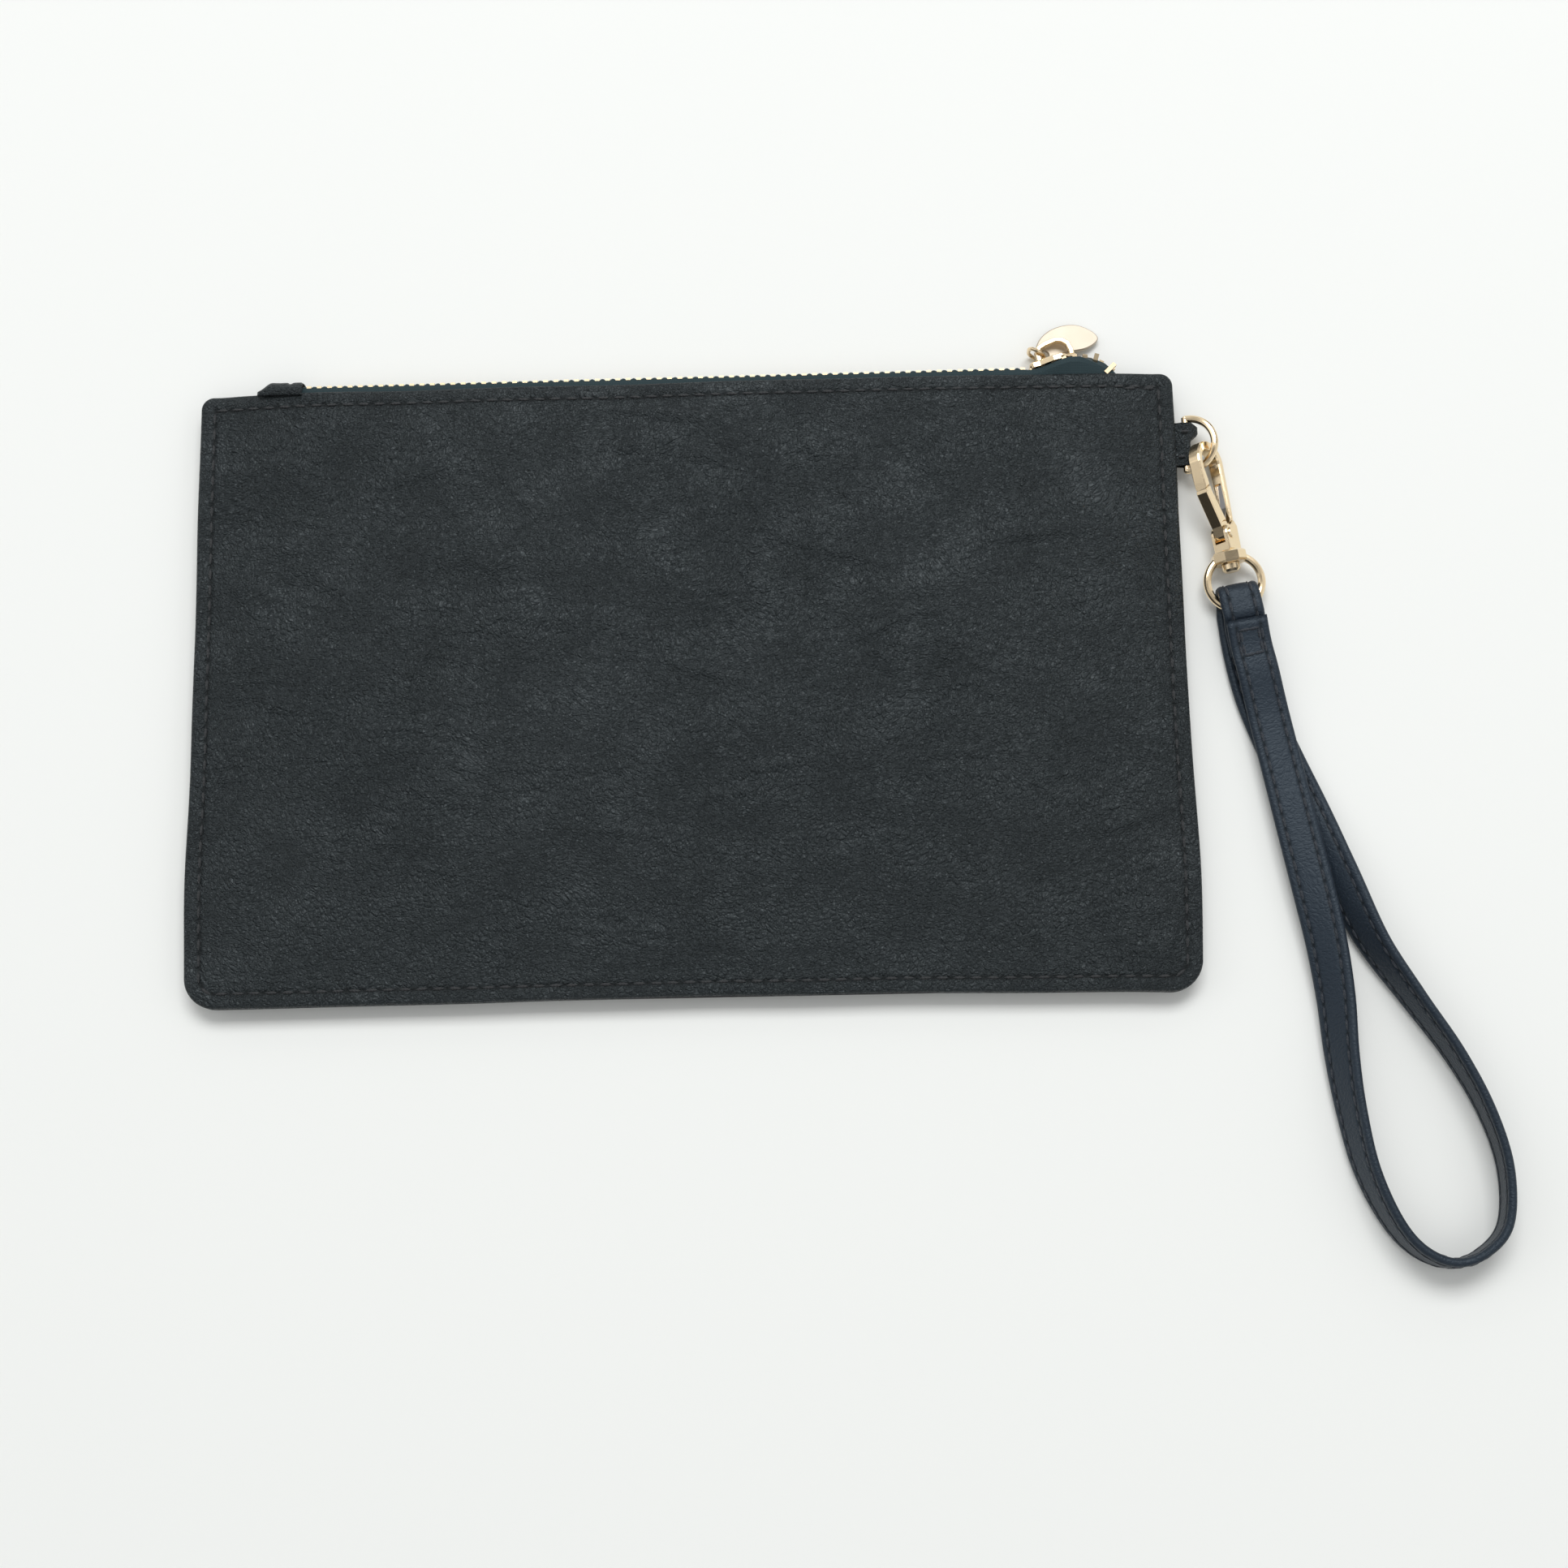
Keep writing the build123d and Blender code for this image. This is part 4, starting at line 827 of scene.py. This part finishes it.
# ---- settings and operators ---------------------------------------------------------------
class WristletSettings(bpy.types.PropertyGroup):
    wrinkle_depth: bpy.props.FloatProperty(
        name="Wrinkle depth", description="Height of the leather's crumple",
        default=0.00058, min=0.0, max=0.0012, unit="LENGTH")
    fold_height: bpy.props.FloatProperty(
        name="Fold height", description="Height of the few standing folds",
        default=0.0009, min=0.0, max=0.002, unit="LENGTH")
    grain: bpy.props.FloatProperty(
        name="Grain", description="Strength of the pebbled grain", default=1.0, min=0.0, max=2.0,
        subtype="FACTOR")
    stitch_pitch: bpy.props.FloatProperty(
        name="Stitch pitch", description="From one stitch to the next round the pouch",
        default=0.0038, min=0.002, max=0.006, unit="LENGTH")
    stitch_length: bpy.props.FloatProperty(
        name="Stitch length", description="Visible length of a stitch",
        default=0.0026, min=0.001, max=0.005, unit="LENGTH")
    thread_radius: bpy.props.FloatProperty(
        name="Thread radius", description="Half the sewing thread's thickness",
        default=0.00032, min=0.0001, max=0.0006, unit="LENGTH")
    leather_color: bpy.props.FloatVectorProperty(
        name="Leather", description="Pouch leather", subtype="COLOR", size=3,
        default=(0.0064, 0.0092, 0.0106), min=0.0, max=1.0)
    strap_color: bpy.props.FloatVectorProperty(
        name="Strap", description="Strap leather", subtype="COLOR", size=3,
        default=(0.011, 0.018, 0.029), min=0.0, max=1.0)
    thread_color: bpy.props.FloatVectorProperty(
        name="Thread", description="Sewing thread", subtype="COLOR", size=3,
        default=(0.009, 0.0115, 0.014), min=0.0, max=1.0)
    tape_color: bpy.props.FloatVectorProperty(
        name="Tape", description="Zipper tape", subtype="COLOR", size=3,
        default=(0.009, 0.03, 0.037), min=0.0, max=1.0)
    lining_color: bpy.props.FloatVectorProperty(
        name="Lining", description="Lining cloth", subtype="COLOR", size=3,
        default=(0.05, 0.05, 0.055), min=0.0, max=1.0)
    gold_color: bpy.props.FloatVectorProperty(
        name="Pale gold", description="Plating of the zipper and clasp", subtype="COLOR", size=3,
        default=(0.88, 0.71, 0.47), min=0.0, max=1.0)
    floor_color: bpy.props.FloatVectorProperty(
        name="Floor", description="Paper under the wallet", subtype="COLOR", size=3,
        default=(0.893, 0.91, 0.89), min=0.0, max=1.0)
    light_power: bpy.props.FloatProperty(
        name="Light", description="Power of the large soft light", default=29.8, min=0.0,
        unit="POWER")


def leather_of(settings):
    """The pouch leather, made once and shared."""
    return bpy.data.materials.get("pouch_leather") or leather_material(
        "pouch_leather", settings.leather_color, settings)


def thread_of(settings):
    """The sewing thread, made once and shared."""
    return bpy.data.materials.get("sewing_thread") or thread_material(
        "sewing_thread", settings.thread_color)


def place(obj, body, slot, *nodes):
    """Rides a new piece on its body and hides the nodes it stands for; the slot is not used."""
    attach(obj, body)
    if nodes:
        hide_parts(*nodes)
    return obj


def finish_nodes(names, material):
    """Gives CAD nodes a finish."""
    for name in names:
        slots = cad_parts[name].data.materials
        slots.clear()
        slots.append(material)


class WRISTLET_OT_pouch(bpy.types.Operator):
    """Front and back leather panels with their turned edges and wrinkles"""
    bl_idname = "wristlet.pouch"
    bl_label = "Pouch leather"

    def execute(self, context):
        settings = context.scene.wristlet
        material = leather_of(settings)
        front = leather_panel("front_leather", 1, 0.74, settings, material)
        back = leather_panel("back_leather", -1, 1.3, settings, material)
        place(front, "pouch", "leather", "front_panel")
        place(back, "pouch", "leather", "back_panel")
        return {"FINISHED"}


class WRISTLET_OT_seams(bpy.types.Operator):
    """Lockstitches round the pouch, along the mouth and at the corners"""
    bl_idname = "wristlet.seams"
    bl_label = "Pouch stitching"

    def execute(self, context):
        settings = context.scene.wristlet
        thread = thread_of(settings)
        inner = PANEL_HALF - STITCH_INSET
        top = [(-inner, PANEL_TOP - STITCH_INSET), (inner, PANEL_TOP - STITCH_INSET)]
        tack = [(inner - 9.0, PANEL_TOP - STITCH_INSET - 0.5), (inner, PANEL_TOP - STITCH_INSET - 0.4)]
        for side, name in ((1, "front"), (-1, "back")):
            around = seam_stitches(name + "_seam_stitches", sewn_path(), side, settings, thread)
            mouth = seam_stitches(name + "_mouth_stitches", top, side, settings, thread)
            place(around, "pouch", "leather")
            place(mouth, "pouch", "leather")
        place(seam_stitches("front_tack_stitches", tack, 1, settings, thread), "pouch", "leather")
        return {"FINISHED"}


class WRISTLET_OT_zipper(bpy.types.Operator):
    """Woven tapes, gold teeth and slider, and the leather keeper at the closed end"""
    bl_idname = "wristlet.zipper"
    bl_label = "Zipper"

    def execute(self, context):
        settings = context.scene.wristlet
        tape = cloth_material("tape_weave", settings.tape_color, 900.0)
        lining = cloth_material("lining_weave", settings.lining_color, 700.0)
        teeth = metal_material("teeth_gold", [c * 0.62 for c in settings.gold_color], 0.38, 0.12)
        slider = metal_material("slider_gold", settings.gold_color, 0.16, 0.04)
        finish_nodes(["zipper_tape_front", "zipper_tape_back"], tape)
        place(tape_cord("front_tape_cord", 1, tape), "pouch", "zipper_tape")
        place(tape_cord("back_tape_cord", -1, tape), "pouch", "zipper_tape")
        finish_nodes(["lining_front", "lining_back"], lining)
        finish_nodes(["zipper_teeth_front", "zipper_teeth_back", "top_stop_front", "top_stop_back",
                      "bottom_stop"], teeth)
        finish_nodes(["slider_body", "pull_link"], slider)
        satin = metal_material("tab_satin", [0.25 + 0.4 * c for c in settings.gold_color], 0.45, 0.1, 0.8)
        finish_nodes(["pull_tab"], satin)
        place(keeper_piece(leather_of(settings)), "pouch", "leather", "zipper_end_tab")
        return {"FINISHED"}


class WRISTLET_OT_strap(bpy.types.Operator):
    """Wrist strap with its sewn rows, and the tab that holds the side ring"""
    bl_idname = "wristlet.strap"
    bl_label = "Strap and tab"

    def execute(self, context):
        settings = context.scene.wristlet
        material = leather_material("strap_skin", settings.strap_color, settings, smooth_skin=True)
        place(wrist_strap(settings, material), "strap", "leather", "wrist_strap")
        thread = thread_material("strap_thread", [c * 0.9 for c in settings.strap_color])
        place(strap_stitches(settings, thread), "strap", "leather")
        place(tab_piece(leather_of(settings)), "pouch", "leather", "side_tab")
        spots = [(117.3, 58.3, 5.66), (116.4, 52.2, 5.6)]
        tack = capsules("tab_stitches", spots, [(1, 0, 0.08)] * 2, [(0, 0, 1)] * 2, 1.9,
                        settings.thread_radius / MM, thread_of(settings))
        place(tack, "pouch", "leather")
        return {"FINISHED"}


class WRISTLET_OT_clasp(bpy.types.Operator):
    """Plated clasp, its gate and pins, the swivel and the side ring"""
    bl_idname = "wristlet.clasp"
    bl_label = "Clasp and rings"

    def execute(self, context):
        settings = context.scene.wristlet
        gold = metal_material("clasp_gold", settings.gold_color, 0.12, 0.05)
        steel = metal_material("spring_steel", (0.55, 0.55, 0.56), 0.3, 0.1)
        finish_nodes(["hook_body", "hook_gate", "gate_pin", "swivel_rivet", "swivel_ring",
                      "side_ring"], gold)
        finish_nodes(["gate_spring"], steel)
        return {"FINISHED"}


# Patches of the surround: direction, cosine at the rim and where full, brightness.
PATCHES = (
    ((-0.03, 0.08, 0.995), 0.935, 0.993, 0.2), ((0.15, 0.26, 0.953), 0.975, 0.993, 0.12),
    ((-0.95, 0.1, 0.3), 0.86, 0.96, 1.9), ((-0.74, -0.62, 0.25), 0.8, 0.95, 0.08),
)
BACKDROP_LEVEL = 0.88
FLOOR_REACH = 4000.0
FLOOR_Z = -0.2
LAMP_PLACE = (0.15, 1.12, 1.95)
LAMP_TURN = (-29.9, 4.4, 0.0)
CAMERA_PLACE = (0.0372, -0.1253, 0.5535)
CAMERA_TURN = (10.49, 1.76, -0.95)


def surround():
    """Pale room: brighter overhead, greyer low down, uneven like walls and furniture, with
    a window low on the left and dim patches where a person and their hands are. The
    camera itself sees one plain pale tone."""
    world = bpy.data.worlds.new("surround")
    world.use_nodes = True
    tree = world.node_tree
    link = tree.links.new
    way = node(tree, "ShaderNodeTexCoord").outputs["Generated"]
    split = node(tree, "ShaderNodeSeparateXYZ")
    rooms = node(tree, "ShaderNodeTexNoise", Scale=5.0, Detail=1.5)
    link(way, split.inputs["Vector"])
    link(way, rooms.inputs["Vector"])
    height = remapped(tree, split.outputs["Z"], From_Min=0.1, From_Max=1.0, To_Min=0.4, To_Max=0.95)
    uneven = remapped(tree, rooms.outputs["Fac"], From_Min=0.4, From_Max=0.6, To_Min=0.45, To_Max=1.2)
    level = times(tree, height, uneven)
    for centre, rim, full, share in PATCHES:
        toward = node(tree, "ShaderNodeVectorMath", operation="DOT_PRODUCT")
        toward.inputs[1].default_value = centre
        link(way, toward.inputs[0])
        shade = remapped(tree, toward.outputs["Value"], From_Min=rim, From_Max=full, To_Min=1.0,
                         To_Max=share)
        level = times(tree, level, shade)
    path = node(tree, "ShaderNodeLightPath")
    seen = node(tree, "ShaderNodeMix")
    seen.inputs[3].default_value = BACKDROP_LEVEL
    link(path.outputs["Is Camera Ray"], seen.inputs[0])
    link(level, seen.inputs[2])
    link(seen.outputs[0], tree.nodes["Background"].inputs["Strength"])
    tree.nodes["Background"].inputs["Color"].default_value = (1, 1, 1, 1)
    return world


def stand(name, data, location, degrees):
    """Adds a lamp or camera at a place in metres, turned by angles in degrees."""
    obj = bpy.data.objects.new(name, data)
    obj.location = location
    obj.rotation_euler = [math.radians(a) for a in degrees]
    bpy.context.scene.collection.objects.link(obj)
    return obj


class WRISTLET_OT_stage(bpy.types.Operator):
    """White paper, one large soft light, a pale surround and the camera"""
    bl_idname = "wristlet.stage"
    bl_label = "Stage"

    def execute(self, context):
        settings = context.scene.wristlet
        edge = [(x * FLOOR_REACH, y * FLOOR_REACH, FLOOR_Z)
                for x, y in ((-1, -1), (1, -1), (1, 1), (-1, 1))]
        floor = make_object("floor", edge, np.array([[0, 1, 2, 3]]), floor_material(settings.floor_color))
        light = bpy.data.lights.new("soft_light", "AREA")
        light.shape = "RECTANGLE"
        light.size, light.size_y = 1.5, 0.85
        light.energy = settings.light_power
        stand("soft_light", light, LAMP_PLACE, LAMP_TURN)
        context.scene.world = surround()
        view = bpy.data.cameras.new("camera")
        view.sensor_width = 36.0
        view.lens = 55.9
        context.scene.camera = stand("camera", view, CAMERA_PLACE, CAMERA_TURN)
        context.scene.view_settings.view_transform = "Standard"
        return {"FINISHED"}


class WRISTLET_PT_panel(bpy.types.Panel):
    """Sizes and colours of the wallet"""
    bl_label = "Wristlet wallet"
    bl_idname = "WRISTLET_PT_panel"
    bl_space_type = "VIEW_3D"
    bl_region_type = "UI"
    bl_category = "Wristlet"

    def draw(self, context):
        for name in WristletSettings.__annotations__:
            self.layout.prop(context.scene.wristlet, name)
        for kind in STEPS:
            self.layout.operator(kind.bl_idname)


STEPS = (WRISTLET_OT_pouch, WRISTLET_OT_seams, WRISTLET_OT_zipper, WRISTLET_OT_strap,
         WRISTLET_OT_clasp, WRISTLET_OT_stage)


def register():
    for kind in (WristletSettings, *STEPS, WRISTLET_PT_panel):
        bpy.utils.register_class(kind)
    bpy.types.Scene.wristlet = bpy.props.PointerProperty(type=WristletSettings)


def unregister():
    del bpy.types.Scene.wristlet
    for kind in reversed((WristletSettings, *STEPS, WRISTLET_PT_panel)):
        bpy.utils.unregister_class(kind)


def main():
    register()
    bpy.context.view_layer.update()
    bpy.ops.wristlet.pouch()
    bpy.ops.wristlet.seams()
    bpy.ops.wristlet.zipper()
    bpy.ops.wristlet.strap()
    bpy.ops.wristlet.clasp()
    bpy.ops.wristlet.stage()


if __name__ == "__main__":
    main()
